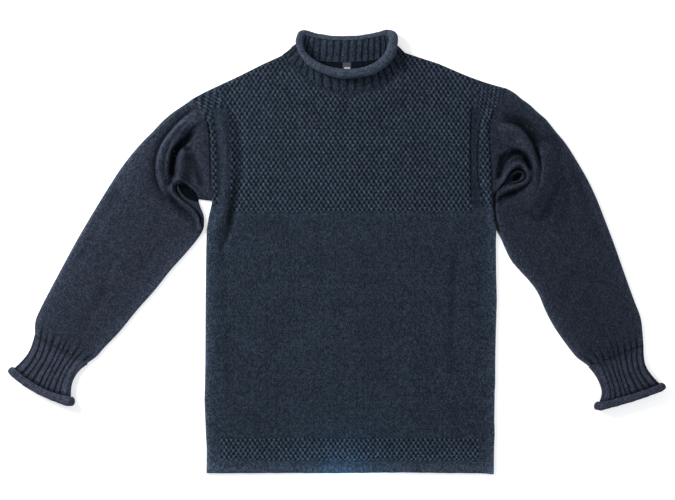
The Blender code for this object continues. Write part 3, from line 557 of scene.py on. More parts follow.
def hollow_shade(height, scales=((2, 1.5), (6, 5.0), (14, 16.0))):
    """Darker where the cloth lies lower than what is around it, and a little paler on crests."""
    shadow = np.zeros(height.shape)
    crest = np.zeros(height.shape)
    for cells, depth in scales:
        above = blurred(height, cells) - height
        shadow = shadow + np.maximum(above, 0.0) / depth
        crest = crest + np.maximum(-above, 0.0) / depth
    return np.exp(-SHADOW_GAIN * shadow) * (1.0 + CREST_GAIN * np.minimum(crest, 2.0))


def lee_shade(x, y, height):
    """Darker beside a fold, on its lower right, which faces away from the key light."""
    shadow = np.zeros(np.shape(x))
    for reach, depth in LEE_STEPS:
        raised, _ = surface_height(x - reach * LEE[0], y - reach * LEE[1])
        shadow = shadow + np.maximum(raised - height - LEE_SLOPE * reach, 0.0) / depth
    return np.exp(-shadow)


def edge_glow(distance, rise, reach, pile):
    """Painted light: paler towards an edge, as where the pale surroundings would light the fuzz of the wool.
    """
    return (1.0 + rise * np.exp(-distance / reach) + pile * np.exp(-distance / 2.0)) ** 2.2


def seeds(across, up, width, length):
    """The raised moss pattern: 1 on each seed and 0 in the pits between, on a staggered lattice."""
    across = across + 0.55 * np.sin(up / 29.0) + 0.4 * np.sin(across / 41.0 + up / 53.0)
    up = up + 0.6 * np.sin(across / 37.0 + 1.0)
    slanted = across + SEED_SLANT * np.sin(4.0 * math.pi * up / length)
    lattice = np.cos(2.0 * math.pi * slanted / width) * np.cos(2.0 * math.pi * up / length)
    uneven = np.sin(across * 0.71 + 2.0 * np.sin(up * 0.23)) * np.sin(up * 0.47 + 2.0 * np.sin(across * 0.19))
    point = 0.10 * np.sin(4.0 * math.pi * up / length)
    return smoothstep(0.42 + 0.74 * lattice + 0.12 * uneven + point)


def band(value, low, high, soft=1.5):
    """1 between low and high, with soft ends."""
    return smoothstep((value - low) / soft + 0.5) * smoothstep((high - value) / soft + 0.5)


def pattern(x, y, from_left, from_right, from_seam):
    """Seed relief and its share, 0 in plain knitting, for a panel."""
    welt = band(x, -WELT_HALF_WIDTH, WELT_HALF_WIDTH) * band(y, WELT_LOW_Y, WELT_HIGH_Y)
    strips = np.maximum(band(from_left, *STRIP_LEFT), band(from_right, *STRIP_RIGHT))
    strips = strips * smoothstep((STRIP_TOP_Y - y) / 6.0)
    border = np.maximum(band(from_left, -9.0, STRIP_LEFT[0]), band(from_right, -9.0, STRIP_RIGHT[0]))
    border = border * smoothstep((UNDERARM_Y - 6.0 - y) / 6.0)
    yoke = smoothstep((y - YOKE_Y) / 1.6) * (1.0 - strips) * (1.0 - border)
    welt_seeds = seeds(x, y - WELT_LOW_Y, WELT_SEED_WIDTH, WELT_SEED_LENGTH)
    beside = (from_left < STRIP_LEFT[1] - 6.0) | (from_right < STRIP_RIGHT[1] - 6.0)
    across = np.where(beside, from_seam, x - CHEST_LEFT)
    yoke_seeds = seeds(across, y - YOKE_Y, SEED_WIDTH, SEED_LENGTH)
    share = np.maximum(welt, yoke)
    return np.where(y < 0.0, welt_seeds, yoke_seeds) * share, share


class Shell:
    """Gathers grids of points into one mesh with UVs, in metres along the stitches, and a shade."""

    def __init__(self):
        self.points = []
        self.faces = []
        self.uvs = []
        self.shades = []
        self.count = 0

    def grid(self, points, uv, shade, around=False, down=False):
        """Adds a grid [row][column]; uv has one more column than points where it goes around."""
        rows, cols = points.shape[:2]
        index = self.count + np.arange(rows * cols).reshape(rows, cols)
        self.count += rows * cols
        self.points.append(points.reshape(-1, 3))
        self.shades.append(np.broadcast_to(shade, (rows, cols)).reshape(-1))
        wide = np.concatenate([index, index[:, :1]], axis=1) if around else index
        corners = [(0, 0), (0, 1), (1, 1), (1, 0)]
        if down:
            corners = corners[::-1]
        spans = wide.shape[1] - 1
        faces = [wide[r:rows - 1 + r, c:spans + c].reshape(-1) for r, c in corners]
        places = [uv[r:rows - 1 + r, c:spans + c].reshape(-1, 2) for r, c in corners]
        self.faces += np.stack(faces, axis=1).tolist()
        self.uvs.append(np.stack(places, axis=1).reshape(-1, 2))
        return index

    def rim(self, fine, coarse, fine_uv, around=False):
        """Joins a row of points to another that has one point for every few of the first."""
        step = round((len(fine) - 0.5) / (len(coarse) - 0.5))
        for c in range(len(coarse) if around else len(coarse) - 1):
            places = [(c * step + k) % len(fine) for k in range(step + 1)]
            face = [int(fine[i]) for i in places]
            corner = [fine_uv[i] for i in places]
            self.faces.append(face + [int(coarse[(c + 1) % len(coarse)]), int(coarse[c])])
            self.uvs.append(np.array(corner + [corner[-1], corner[0]]))

    def build(self, name, material):
        data = bpy.data.meshes.new(name)
        data.from_pydata((np.concatenate(self.points) * MM).tolist(), [], self.faces)
        layer = data.uv_layers.new(name="stitches")
        layer.data.foreach_set("uv", (np.concatenate(self.uvs) * MM).astype(np.float32).ravel())
        shade = data.attributes.new("shade", "FLOAT", "POINT")
        shade.data.foreach_set("value", np.concatenate(self.shades).astype(np.float32))
        mesh = bmesh.new()
        mesh.from_mesh(data)
        bmesh.ops.recalc_face_normals(mesh, faces=mesh.faces)
        if mesh.calc_volume(signed=True) < 0.0:
            bmesh.ops.reverse_faces(mesh, faces=mesh.faces)
        mesh.to_mesh(data)
        mesh.free()
        data.shade_smooth()
        data.set_sharp_from_angle(angle=math.radians(70.0))
        data.materials.append(material)
        made = bpy.data.objects.new(name, data)
        bpy.context.scene.collection.objects.link(made)
        return made


def finished(piece, node):
    """The piece moves with the sweater and stands for its solid, which is hidden."""
    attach(piece, "root")
    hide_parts(node)
    return piece


def wall_piece(names, material, outside, inside, uv, shades, step=1, around=False, down=False):
    """A closed wall between two grids, outside up or down; names are the piece's, node's and slot's; the
    slot's name is not used.

    Its plain inside has a point for every step-th one of the outside."""
    name, node, slot_name = names
    coarse = (slice(None, None, step),) * 2
    shell = Shell()
    outer = shell.grid(outside, uv, shades[0], around, down)
    inner = shell.grid(inside[coarse], uv[coarse], shades[1], around, not down)
    for end in (0, -1):
        shell.rim(outer[end], inner[end], uv[end], around)
        if not around:
            shell.rim(outer[:, end], inner[:, end], uv[:, end])
    return finished(shell.build(name, material), node)


def stacked(x, y, z):
    return np.stack([x, y, z], axis=-1)


def panel_plan(columns, rows, neck):
    """Plan of a panel's grid and its distance from the nearest free or folded edge.

    Rows are heights on the body below the underarm, and above it ARMHOLE_ROWS to the whole armhole."""
    column = np.array(columns, float)[None, :]
    row = np.array(rows, float)[:, None]
    low = row <= UNDERARM_Y
    share = np.clip((row - UNDERARM_Y) / ARMHOLE_ROWS, 0.0, 1.0)
    weights = [np.clip(1.0 - inset / FLARE_REACH, 0.0, 1.0) ** 1.5
               for inset in (column - CHEST_LEFT, CHEST_RIGHT - column)]

    def widened(left, right):
        return column + (left - CHEST_LEFT) * weights[0] + (right - CHEST_RIGHT) * weights[1]

    tip = ARMHOLE[-1]
    ends, climbs = [], []
    for side in ("left", "right"):
        armhole_x = read(ARMHOLE, "share", share, f"{side}_x")
        armhole_y = read(ARMHOLE, "share", share, f"{side}_y")
        ends.append(np.where(low, read(BODY_SIDES, "y", row, side), armhole_x))
        climbs.append((armhole_y - UNDERARM_Y) / (getattr(tip, f"{side}_y") - UNDERARM_Y))
    x = widened(*ends)
    tip_x = widened(tip.left_x, tip.right_x)
    top_y = top_edge(tip_x, neck)
    edge = np.where(column < NECK_X, *climbs)
    side = np.minimum(column - CHEST_LEFT, CHEST_RIGHT - column)
    climb = edge + (share - edge) * np.clip(side / FLARE_REACH, 0.0, 1.0)
    y = np.where(low, row, UNDERARM_Y + (top_y - UNDERARM_Y) * climb)

    seamed = smoothstep((row - YOKE_Y) / (UNDERARM_Y - YOKE_Y))
    from_side = side + (EDGE_ROUND - np.minimum(side, EDGE_ROUND)) * seamed
    on_shoulder = (tip_x <= neck[0].x) | (tip_x >= neck[-1].x)
    from_top = np.where(on_shoulder, top_y - y, EDGE_ROUND)
    distance = np.minimum(np.minimum(from_side, y - HEM_Y), from_top)
    return x, y + hem_wave(x, y), distance


def hem_wave(x, y):
    """The hem isn't quite straight; how far it is off, fading out above it."""
    wave = 0.5 + 1.3 * bell(x - 85.0, 75.0) + 0.5 * bell(x + 110.0, 60.0) - 1.8 * bell(x - 246.0, 9.0)
    wave = wave + 0.25 * np.sin(x / 5.3) * np.sin(x / 17.0)
    return wave * np.exp(-(y - HEM_Y) / 16.0)


def lines_between(low, high, step):
    return np.linspace(low, high, max(2, round((high - low) / step) + 1))


def edge_lines(low, high, step):
    """Lines from low to high, closer together at both ends, where the cloth turns over."""
    inset = np.array([0.0, 0.5, 1.3, 2.4, 3.8, 5.5])
    return np.r_[low + inset, lines_between(low + 7.0, high - 7.0, step), (high - inset)[::-1]]


def panel_rows(plain_step, seed_step):
    """Rows from hem to shoulders, closer together in the patterned bands."""
    hem = HEM_Y + np.array([0.0, 0.5, 1.3, 2.4, 3.8, 5.5, 7.5, 11.0, 15.0, 19.0])
    welt = lines_between(WELT_LOW_Y - 1.5, WELT_HIGH_Y + 1.5, seed_step)
    body = lines_between(WELT_HIGH_Y + 5.0, YOKE_Y - 3.5, plain_step)
    yoke = lines_between(YOKE_Y, UNDERARM_Y + ARMHOLE_ROWS, seed_step)
    return np.r_[hem, welt, body], yoke


def front_piece(name, columns, rows, material):
    x, y, distance = panel_plan(columns, rows, NECK_FRONT)
    column = np.broadcast_to(np.array(columns)[None, :], x.shape)
    from_left, from_right = column - CHEST_LEFT, CHEST_RIGHT - column
    height, _ = surface_height(x, y)
    ease = rounding(distance)
    solid_height = np.maximum(height, 0.0)
    lower = WALL + SEAM_GAP + np.minimum(solid_height, HOLLOW_LIMIT) * ease
    relief, share = pattern(x, y, from_left, from_right, x - x[:, :1])
    by_neck = fold_height(NECK_SEAM, x, y)
    relief = relief * (1.0 - 0.6 * by_neck) + 0.25 * by_neck
    seam = SEAM_DIP * smoothstep(1.0 - np.minimum(from_left, from_right) / 2.5) * (y >= UNDERARM_Y)
    upper = lower + EDGE_THICKNESS + (WALL - EDGE_THICKNESS) * ease
    upper = upper + np.maximum(solid_height - HOLLOW_LIMIT, 0.0) * ease + SEED_HEIGHT * relief * ease - seam
    # Painted shade in the hollows of the folds, beside them away from the key light, and along the body's
    # long lines
    folds = hollow_shade(height) * lee_shade(x, y, height) * np.exp(-total(BODY_DEPTHS, x, y))
    purl = 0.10 * bell(y - YOKE_Y + 3.2, 1.3) * (0.5 + np.abs(np.sin(x * 0.9)))
    # Painted light: paler towards the hem and, below the underarms, towards the sides
    rise, reach = HEM_GLOW
    free = smoothstep((UNDERARM_Y - y) / 12.0)
    sides = [1.0 + (edge_glow(d, *g) - 1.0) * free for d, g in zip((from_left, from_right), BODY_GLOW)]
    wear_and_edge_light = (1.0 + rise * np.exp(-(y - HEM_Y) / reach)) * sides[0] * sides[1]
    # Painted shade: the right smooth strip is darker, as it lies in a hollow
    in_strip = band(from_right, *STRIP_RIGHT) * smoothstep((y - YOKE_Y) / 20.0)
    plain_shade = PLAIN_SHADE * (1.0 - 0.28 * in_strip)
    # Painted shade in the pits between the seeds, paler on the seeds themselves
    shade = (plain_shade * (1.0 - share) + share * (0.08 + 0.92 * relief) + purl) * folds * wear_and_edge_light
    uv = stacked(column, y, y)[..., :2] + 400.0
    outside, inside = stacked(x, y, upper), stacked(x, y, lower)
    return wall_piece((name, "front", "patterned_knit"), material, outside, inside, uv,
                      (shade, 0.5 * PLAIN_SHADE), PANEL_STEP)


def fitted(lines, step):
    """The lines with a few more of them, so that every step-th one, from first to last, is kept."""
    spare = (-(len(lines) - 1)) % step
    places = np.linspace(0.0, len(lines) - 1.0, len(lines) + spare)
    return np.interp(places, np.arange(len(lines)), lines)


def front_pieces(material):
    columns = fitted(edge_lines(CHEST_LEFT, CHEST_RIGHT, 1.2), PANEL_STEP)
    body, yoke = panel_rows(4.6, 1.45)
    body = fitted(np.r_[body, YOKE_Y], PANEL_STEP)
    yoke = fitted(yoke, PANEL_STEP)
    made = [front_piece("front_body", columns, body, material),
            front_piece("front_yoke", columns, yoke, material)]
    return made


def back_piece(material):
    """The back panel: its outside lies on the floor, and its inside shows in the neck."""
    columns = fitted(edge_lines(CHEST_LEFT, CHEST_RIGHT, 1.8), BACK_STEP)
    body, yoke = panel_rows(6.0, 2.0)
    rows = fitted(np.r_[body, yoke], BACK_STEP)
    x, y, distance = panel_plan(columns, rows, NECK_BACK)
    column = np.broadcast_to(np.array(columns)[None, :], x.shape)
    from_left, from_right = column - CHEST_LEFT, CHEST_RIGHT - column
    relief, share = pattern(x, y, from_left, from_right, x - x[:, :1])
    under = (1.0 - rounding(distance)) * EDGE_THICKNESS + 0.9 * share * (1.0 - relief)
    # Painted shade in the pits between the seeds, paler on the seeds themselves
    shade = PLAIN_SHADE * (1.0 - share) + share * (0.10 + 0.92 * relief)
    uv = stacked(column, y, y)[..., :2] + 400.0
    outside, inside = stacked(x, y, under), stacked(x, y, np.full(x.shape, WALL))
    # Its inside shows in the neck in painted shade, darker than the plain knit
    piece = wall_piece(("back_panel", "back", "plain_knit"), material, outside, inside, uv,
                       (shade, 0.22 * PLAIN_SHADE), BACK_STEP, down=True)
    return piece


def armhole_line(side):
    """The panels' edge along one armhole, from the underarm to the shoulder."""
    rows = UNDERARM_Y + ARMHOLE_ROWS * np.linspace(0.001, 1.0, 60)
    x, y, _ = panel_plan([CHEST_LEFT, 0.0, CHEST_RIGHT], rows, NECK_BACK)
    edge = 0 if side < 0 else -1
    return along(np.stack([x[:, edge], y[:, edge]], axis=1))


def armhole_push(side):
    """Which way a sleeve is pushed clear of the panels at the armhole."""
    return np.array([side * ARMHOLE_PUSH[0], ARMHOLE_PUSH[1]])


def sleeve_plan(table, side, stations, shares):
    """Plan of a sleeve for stations along it and shares from its outer to its inner edge."""
    first = armhole_line(side)
    ends = np.array([list(s.outer) + list(s.inner) for s in table], float)
    start = np.r_[first(1.0)[0], first(0.0)[0]]
    rows = spline(np.vstack([start, ends]))(stations)
    outer, inner = rows[:, None, :2], rows[:, None, 2:]
    steps = np.linspace(0.0, 1.0, 41)
    chord = first(1.0 - steps)
    bow = chord - chord[0] - (chord[-1] - chord[0]) * steps[:, None]
    bent = np.stack([np.interp(shares, steps, b) for b in bow.T], axis=-1)
    fade = np.clip(1.0 - stations / BEND_REACH, 0.0, 1.0)[:, None, None]
    push = ARMHOLE_GAP * fade * armhole_push(side)
    plan = outer + (inner - outer) * shares[..., None] + bent * fade ** 1.5 + push
    return plan, norms(rows[:, 2:] - rows[:, :2])[:, 0]


def sleeve_shares(lengths):
    """Shares across a sleeve for each station: rounded edges, and closer together near the body."""
    inset = np.array([0.0, 0.6, 1.5, 2.8, 4.6])[None, :] / lengths[:, None]
    last = inset[:, -1:]
    coarse = np.linspace(0.0, 0.42, SLEEVE_OUTER_COLUMNS)
    fine = np.linspace(0.42, 1.0, SLEEVE_INNER_COLUMNS)[1:]
    middle = last + (1.0 - 2.0 * last) * np.r_[coarse, fine][None, :]
    top = np.concatenate([inset[:, :-1], middle, 1.0 - inset[:, -2::-1]], axis=1)
    under = top[:, ::-1][:, 4:-4:4]
    return top, np.concatenate([top, under], axis=1)


def gathers(shares):
    """The profile of the cuff's ribs, as they run on into the sleeve's upper layer."""
    return rib_profile(rib_phase((shares * 1.01 - 0.031) / 2.0, CUFF_RIBS))


def tucked(points, step, lower, left):
    """The end of a tube moved on by a step and turned down to a share of its height, to close a seam."""
    end = points.copy()
    end[..., :2] += step
    end[..., 2] = lower + (end[..., 2] - lower) * left
    return end[None]


def sleeve_piece(name, node, table, side, tone, glow, lean, material):
    """One sleeve: a flattened tube with its folds in the upper layer.

    tone is its plain wool's, with painted light that makes the left sleeve's paler than the right's, glow is
    the painted light at its outer and inner edge, and lean is how much further the cuff's gathers reach up on
    the inner side."""
    stations = np.r_[lines_between(0.0, 0.42, 0.0026), lines_between(0.4255, 1.0, 0.0058)]
    _, lengths = sleeve_plan(table, side, stations, np.zeros((len(stations), 1)))
    top, shares = sleeve_shares(lengths)
    plan, _ = sleeve_plan(table, side, stations, shares)
    x, y = plan[..., 0], plan[..., 1]
    ease = rounding(np.minimum(shares, 1.0 - shares) * lengths[:, None])
    middle = WALL + SEAM_GAP / 2.0
    height, pits = surface_height(x, y)
    # Painted shadow beside the folds, away from the key light, with the painted shade and highlights of
    # DEPTHS
    lee = lee_shade(x, y, height) ** SLEEVE_LEE * np.exp(-total(DEPTHS, x, y))
    above = np.arange(shares.shape[1]) < top.shape[1]
    centres = plan.mean(axis=1)
    length_along = running(norms(np.diff(centres, axis=0)))
    to_cuff = (length_along[-1] - length_along)[:, None]
    ribs = gathers(shares)
    reach = GATHER_REACH * (0.78 + 0.3 * np.sin(shares * 47.0 + 1.0)) * (1.0 + lean * (1.3 * shares - 0.45))
    near_cuff = bell(to_cuff, reach)
    height = height + np.where(above, 1.3 * (ribs - 0.5) * near_cuff, 0.0)
    upper = middle + (2.0 * WALL + SEAM_GAP + height - middle) * ease
    z = np.where(above, np.maximum(upper, middle), middle * (1.0 - ease))
    # Painted shade in the pits
    dark = 1.0 - 0.97 * smoothstep(pits / 6.0)
    # Painted shade in the grooves of the cuff's gathers, and painted light on the last few millimetres before
    # the cuff
    grooves = (1.0 - 0.72 * (1.0 - ribs) * near_cuff) * (1.0 + 0.35 * np.exp(-to_cuff / 4.0))
    # Painted light towards the outer and the inner edge
    outer_edge = edge_glow(shares * lengths[:, None], *glow[0])
    inner_edge = edge_glow((1.0 - shares) * lengths[:, None], *glow[1])
    inner_edge = 1.0 + (inner_edge - 1.0) * smoothstep((stations[:, None] - 0.06) / 0.12)
    edges = outer_edge * inner_edge
    shade = tone * np.where(above, hollow_shade(height) * lee * dark * grooves * edges, 1.0)

    points = stacked(x, y, z)
    first = tucked(points[0], -ARMHOLE_GAP * 0.9 * armhole_push(side), middle, 0.35)
    forward = centres[-1] - centres[-2]
    last = tucked(points[-1], forward / norms(forward) * CUFF_SEAM_GAP * 0.9, middle, 0.75)
    points = np.concatenate([first, points, last])
    shade = np.concatenate([shade[:1] * 0.5, shade, shade[-1:]])
    places = np.r_[-2.0, length_along, length_along[-1] + 2.0]
    turn = np.where(above, shares, 2.0 - shares)
    turn = np.concatenate([turn, np.full((len(stations), 1), 2.0)], axis=1)
    turn = np.concatenate([turn[:1], turn, turn[-1:]]) * lengths.mean()
    uv = stacked(turn, np.broadcast_to(places[:, None], turn.shape), turn)[..., :2]
    shell = Shell()
    shell.grid(points, uv, shade, around=True)
    piece = finished(shell.build(name, material), node)
    return piece


def tube_frames(surface, shares):
    """Points of a tube's middle surface with the outward normals there, for shares of the way round."""
    middle = surface(shares)
    nudge = 0.004
    round_step = surface(shares + nudge) - surface(shares - nudge)
    length_step = np.gradient(middle, axis=0)
    normal = np.cross(round_step, length_step)
    if (normal * (middle - middle.mean(axis=1, keepdims=True))).sum() < 0.0:
        normal = -normal
    return middle, normal / norms(normal)


def tube_uv(middle):
    """Stitch places round and along a tube, with a last column to close it."""
    closed = np.concatenate([middle, middle[:, :1]], axis=1)
    across = running(norms(np.diff(closed, axis=1)).mean(axis=0))
    up = running(norms(np.diff(middle, axis=0)).mean(axis=1))
    return np.stack(np.broadcast_arrays(across[None, :], up[:, None]), axis=-1)


def flat_size(uv):
    """Width and length in metres of cloth that starts at the place 0, 0."""
    return tuple(float(c) * MM for c in uv[-1, -1])


def rib_phase(shares, ribs):
    """Which rib, counted round a tube, with ribs that are not quite of one width."""
    turn = 2.0 * math.pi * shares
    return shares * ribs + 0.16 * np.sin(3.0 * turn + 1.0) + 0.09 * np.sin(7.0 * turn + 2.0)


def rib_profile(phase):
    """Height of a two-by-two rib, from 0 in its groove to 1 on its two stitches."""
    from_groove = 0.5 - np.abs(phase % 1.0 - 0.5)
    return smoothstep((from_groove - 0.06) / 0.22) - 0.16 * smoothstep((from_groove - 0.38) / 0.12)


def from_fold(shares, fold):
    """How far round a tube a share is from a fold."""
    return np.abs((shares - fold + 0.5) % 1.0 - 0.5)


def ribbed_piece(name, node, surface, ribs, gap, shades, base, under, roll_edge, fold_light, start, material):
    """A tube of two-by-two ribbing, with its grooves outside and inside.

    gap is how far its first row goes back to meet the cloth that it is sewn to, and shades are those of
    a groove, in painted shade, and a crest. base is how far the moss pattern runs into its start, under is
    how much painted shadow darkens it below the curl, which starts at roll_edge and darkens it more there
    with painted shadow, fold_light is how much painted light makes its two side folds paler, and start is how
    much darker its first rows are."""
    columns = RIB_COLUMNS * ribs
    shares = np.arange(columns) / columns
    middle, normal = tube_frames(surface, shares)
    back = middle[0] - middle[1]
    back = back / norms(back) * gap(shares)[:, None]
    middle = np.concatenate([(middle[0] + back)[None], middle])
    normal = np.concatenate([normal[:1], normal])
    rows = np.linspace(0.0, 1.0, len(middle))[:, None]
    wander = 0.035 * np.sin(rows * 4.0 + shares * 31.0) + 0.02 * np.sin(rows * 9.0 + shares * 67.0)
    profile = rib_profile(rib_phase(shares, ribs) + wander) * (0.45 + 0.55 * smoothstep(rows / 0.3))
    inner_fold = fold_light * bell(from_fold(shares, INNER_FOLD), FOLD_REACH)
    outer_fold = fold_light * bell(from_fold(shares, OUTER_FOLD), FOLD_REACH)
    profile = 1.0 - (1.0 - profile) * (1.0 - 0.45 * inner_fold)
    inner_profile = rib_profile(rib_phase(shares, ribs) + 0.5 + wander)
    courses = 0.12 * np.sin(np.arange(len(middle)) * 2.4)[:, None] * profile
    outside = middle + normal * (WALL / 2.0 + RIB_HEIGHT * profile + courses)[..., None]
    inside = middle - normal * (WALL / 2.0 + 0.2 - 0.9 * (1.0 - inner_profile))[..., None]
    outside[..., 2] = np.maximum(outside[..., 2], 0.0)
    inside[..., 2] = np.maximum(inside[..., 2], INSIDE_CLEARANCE)
    uv = tube_uv(middle)
    low, high = shades
    seam = bell(rows, 0.045)
    # Painted shade in the grooves of the ribs
    outer_shade = low + (high - low) * profile
    at_base = base * bell(rows, 0.20)
    seeded = seeds(middle[..., 0] - CHEST_LEFT, middle[..., 1] - YOKE_Y, SEED_WIDTH, SEED_LENGTH)
    # Painted shade in the pits between the seeds where the moss pattern runs into the ribs
    outer_shade = outer_shade * (1.0 - at_base) + (0.12 + 0.68 * seeded) * at_base
    # Painted shadow below the curl, deepest under its edge
    outer_shade = outer_shade * (1.0 - under * smoothstep((rows - 0.45) / 0.3))
    outer_shade = outer_shade * (1.0 - 0.75 * smoothstep((rows - roll_edge) / 0.05))
    # Painted light on the two side folds
    outer_shade = outer_shade * (1.0 + 0.5 * inner_fold + 0.35 * outer_fold)
    outer_shade = outer_shade * (1.0 - start * bell(rows, 0.11))
    # The inside: painted shade in the grooves, painted light that grows towards the curl, and a pale seam
    # line at its start
    inner_shade = (low + (high - low) * inner_profile) * (1.18 + 0.25 * rows) + 0.25 * seam
    piece = wall_piece((name, node, "rib_knit"), material, outside, inside, uv, (outer_shade, inner_shade),
                       around=True)
    return piece, flat_size(uv)


def rolled_piece(name, node, surface, shares, curl, flattening, sections, tone, material):
    """The plain edge that curls outwards from the end of a ribbed tube."""
    middle, normal = tube_frames(surface, shares)
    forward = middle[-1] - middle[-2]
    forward /= norms(forward)
    start = middle[-1] + forward * ROLL_SEAM_GAP
    uneven = 1.0 + 0.035 * np.sin(shares * 61.0) + 0.025 * np.sin(shares * 113.0 + 1.0)
    curl = (np.broadcast_to(curl, shares.shape) * uneven)[:, None]
    grids = []
    turns = np.linspace(0.0, CURL_TURN, sections)
    for offset in (WALL / 2.0, -WALL / 2.0):
        rows = []
        for turn in turns:
            out = (curl - (curl + offset) * math.cos(turn)) * flattening
            along_tube = (curl + offset) * math.sin(turn)
            rows.append(start + normal[-1] * out + forward * along_tube)
        grids.append(np.array(rows))
    outside, inside = grids
    outside[..., 2] = np.maximum(outside[..., 2], 0.0)
    inside[..., 2] = np.maximum(inside[..., 2], CURL_INSIDE_CLEARANCE)
    uv = tube_uv((outside + inside) / 2.0)
    streak = tone + 0.04 * np.sin(shares * 170.0)[None, :] + 0.03 * np.sin(turns * 5.0)[:, None]
    piece = wall_piece((name, node, "rolled_knit"), material, outside, inside, uv, (streak, 0.5), around=True)
    return piece, flat_size(uv)


def rim_place(share):
    """Place in the rim table for a share of the way round; the front takes up half of the ribs."""
    share = share % 1.0
    back_spans = len(NECK_RIM) - FRONT_RIM_SPANS
    front = FRONT_RIM_SPANS * share * 2.0
    back = FRONT_RIM_SPANS + back_spans * (share - 0.5) * 2.0
    return np.where(share < 0.5, front, back) / len(NECK_RIM)


def from_neck_corner(share):
    """How far round a share is from where the front and back necklines meet, in corner reaches."""
    return np.minimum(share % 0.5, 0.5 - share % 0.5) / CORNER_REACH


def neck_clearance(share):
    """How far the neck ribbing starts from the panels."""
    return NECK_SEAM_GAP + CORNER_GAP * np.clip(1.0 - from_neck_corner(share), 0.0, 1.0)


def neck_surface(share):
    """The middle surface of the neck ribbing: rows from the neckline to the curl."""
    share = share % 1.0
    front = along(NECK_FRONT)(share * 2.0)
    back = along(NECK_BACK[::-1])(share * 2.0 - 1.0)
    in_front = share < 0.5
    plan = np.where(in_front[:, None], front, back)
    rise = np.minimum(lift(front[:, 0], front[:, 1]), HOLLOW_LIMIT)
    from_corner = from_neck_corner(share)
    blend = np.where(in_front, 1.0, 1.0 - smoothstep(from_corner))
    height = WALL / 2.0 + (WALL + SEAM_GAP + rise) * blend
    base = np.column_stack([plan, height])

    rim = spline([list(r) for r in NECK_RIM], closed=True)(rim_place(share))
    lean = np.radians(rim[:, 3:4])
    rim = rim[:, :3]
    reach = rim - base
    length = norms(reach)
    flat = reach[:, :2] / norms(reach[:, :2])
    leave = np.column_stack([flat, np.zeros(len(share))])
    arrive = np.column_stack([flat * np.cos(lean), np.sin(lean)])
    base = base + leave * neck_clearance(share)[:, None]
    leave = base + leave * length / 3.0
    arrive = rim - arrive * length / 3.0
    rows = []
    for t in np.linspace(0.0, 1.0, COLLAR_ROWS):
        s = 1.0 - t
        rows.append(base * s ** 3 + leave * 3 * t * s ** 2 + arrive * 3 * t ** 2 * s + rim * t ** 3)
    return np.array(rows)


def cuff_surface(table):
    """The middle surface of a cuff, a flattened tube through its sections, for shares round it."""
    data = [[*s.outer, *s.inner, s.middle_height, s.half_thickness, s.bow] for s in table]
    sections = spline(data)(np.linspace(0.0, 1.0, CUFF_ROWS))
    first, last = (np.add(s.outer, s.inner) / 2.0 for s in (table[0], table[-1]))
    forward = (last - first) / norms(last - first)

    def surface(share):
        rows = []
        for ox, oy, ix, iy, height, half, bow in sections:
            across = np.array([ix - ox, iy - oy])
            width = np.linalg.norm(across)
            across /= width
            straight = width - WALL - 2.0 * half
            arc = math.pi * half
            place = (share % 1.0) * 2.0 * (straight + arc)
            lower = place >= straight + arc
            place = np.where(lower, place - straight - arc, place)
            turn = np.maximum(place - straight, 0.0) / half
            offset = np.minimum(place, straight) - straight / 2.0 + half * np.sin(turn)
            rise = half * np.cos(turn)
            flip = np.where(lower, -1.0, 1.0)
            offset, rise = offset * flip, rise * flip
            push = CUFF_SEAM_GAP + bow * (1.0 - (2.0 * offset / width) ** 2)
            centre = np.array([ox + ix, oy + iy]) / 2.0
            plan = centre + np.outer(offset, across) + np.outer(push, forward)
            rows.append(np.column_stack([plan, height + rise]))
        return np.array(rows)

    return surface


def neck_gap(shares):
    """How far the neck ribbing's first row goes back towards the panels: most of the seam's width."""
    return 0.9 * neck_clearance(shares)


def cuff_gap(shares):
    """The same for a cuff, which starts almost at its sleeve."""
    return np.full(shares.shape, 0.05)


def neck_pieces(rib, plain):
    collar, cut = ribbed_piece("neck_ribbing", "collar", neck_surface, NECK_RIBS, neck_gap,
                               (0.15, 0.50), 0.8, 0.30, 0.74, 0.0, 0.0, plain)
    columns, sections = NECK_CURL_GRID
    shares = np.arange(columns) / columns
    curl = spline([list(r) for r in NECK_RIM], closed=True)(rim_place(shares))[:, 4]
    roll, cut = rolled_piece("neck_curl", "neck_roll", neck_surface, shares, curl, 1.0, sections, 0.84, rib)


def cuff_curl(shares, swell):
    """How wide a cuff's curl is all round it; it swells at the inner fold."""
    return CUFF_CURL * (1.0 + swell * bell(shares - INNER_FOLD, SWELL_REACH))


def cuff_pieces(side, table, swell, tone, rib, plain):
    surface = cuff_surface(table)
    cuff, cut = ribbed_piece(f"wrist_ribbing_{side}", f"cuff_{side}", surface, CUFF_RIBS, cuff_gap,
                             (0.12, tone), 0.1, 0.0, 0.85, 1.0, 0.12, rib)
    columns, sections = CUFF_CURL_GRID
    shares = np.arange(columns) / columns
    curl = cuff_curl(shares, swell)
    roll, cut = rolled_piece(f"wrist_curl_{side}", f"cuff_roll_{side}", surface, shares, curl,
                             CUFF_CURL_FLATTENING, sections, tone * 1.1, plain)


def label_piece(material):
    """The small woven tab in the neck, with turned ends and a plain pale mark."""
    wide, long_ = 24, 30
    across = np.linspace(-1.0, 1.0, wide)[None, :]
    up = np.linspace(-1.0, 1.0, long_)[:, None]
    x = LABEL_X + across * LABEL_WIDTH / 2.0 + 0.0 * up
    y = LABEL_TOP_Y - LABEL_LENGTH / 2.0 + up * LABEL_LENGTH / 2.0 + 0.0 * across
    edge = np.minimum(1.0 - np.abs(across), 1.0 - np.abs(up))
    z = WALL + SEAM_GAP + LABEL_THICKNESS * smoothstep(edge * 6.0) + 0.05 * np.sin(9.0 * up)
    uv = stacked(x, y, z)[..., :2] + 400.0
    base = stacked(x, y, np.full(x.shape, WALL + SEAM_GAP - 0.05))
    piece = wall_piece(("label_tab", "neck_label", "label"), material, stacked(x, y, z), base, uv, (1.0, 1.0))


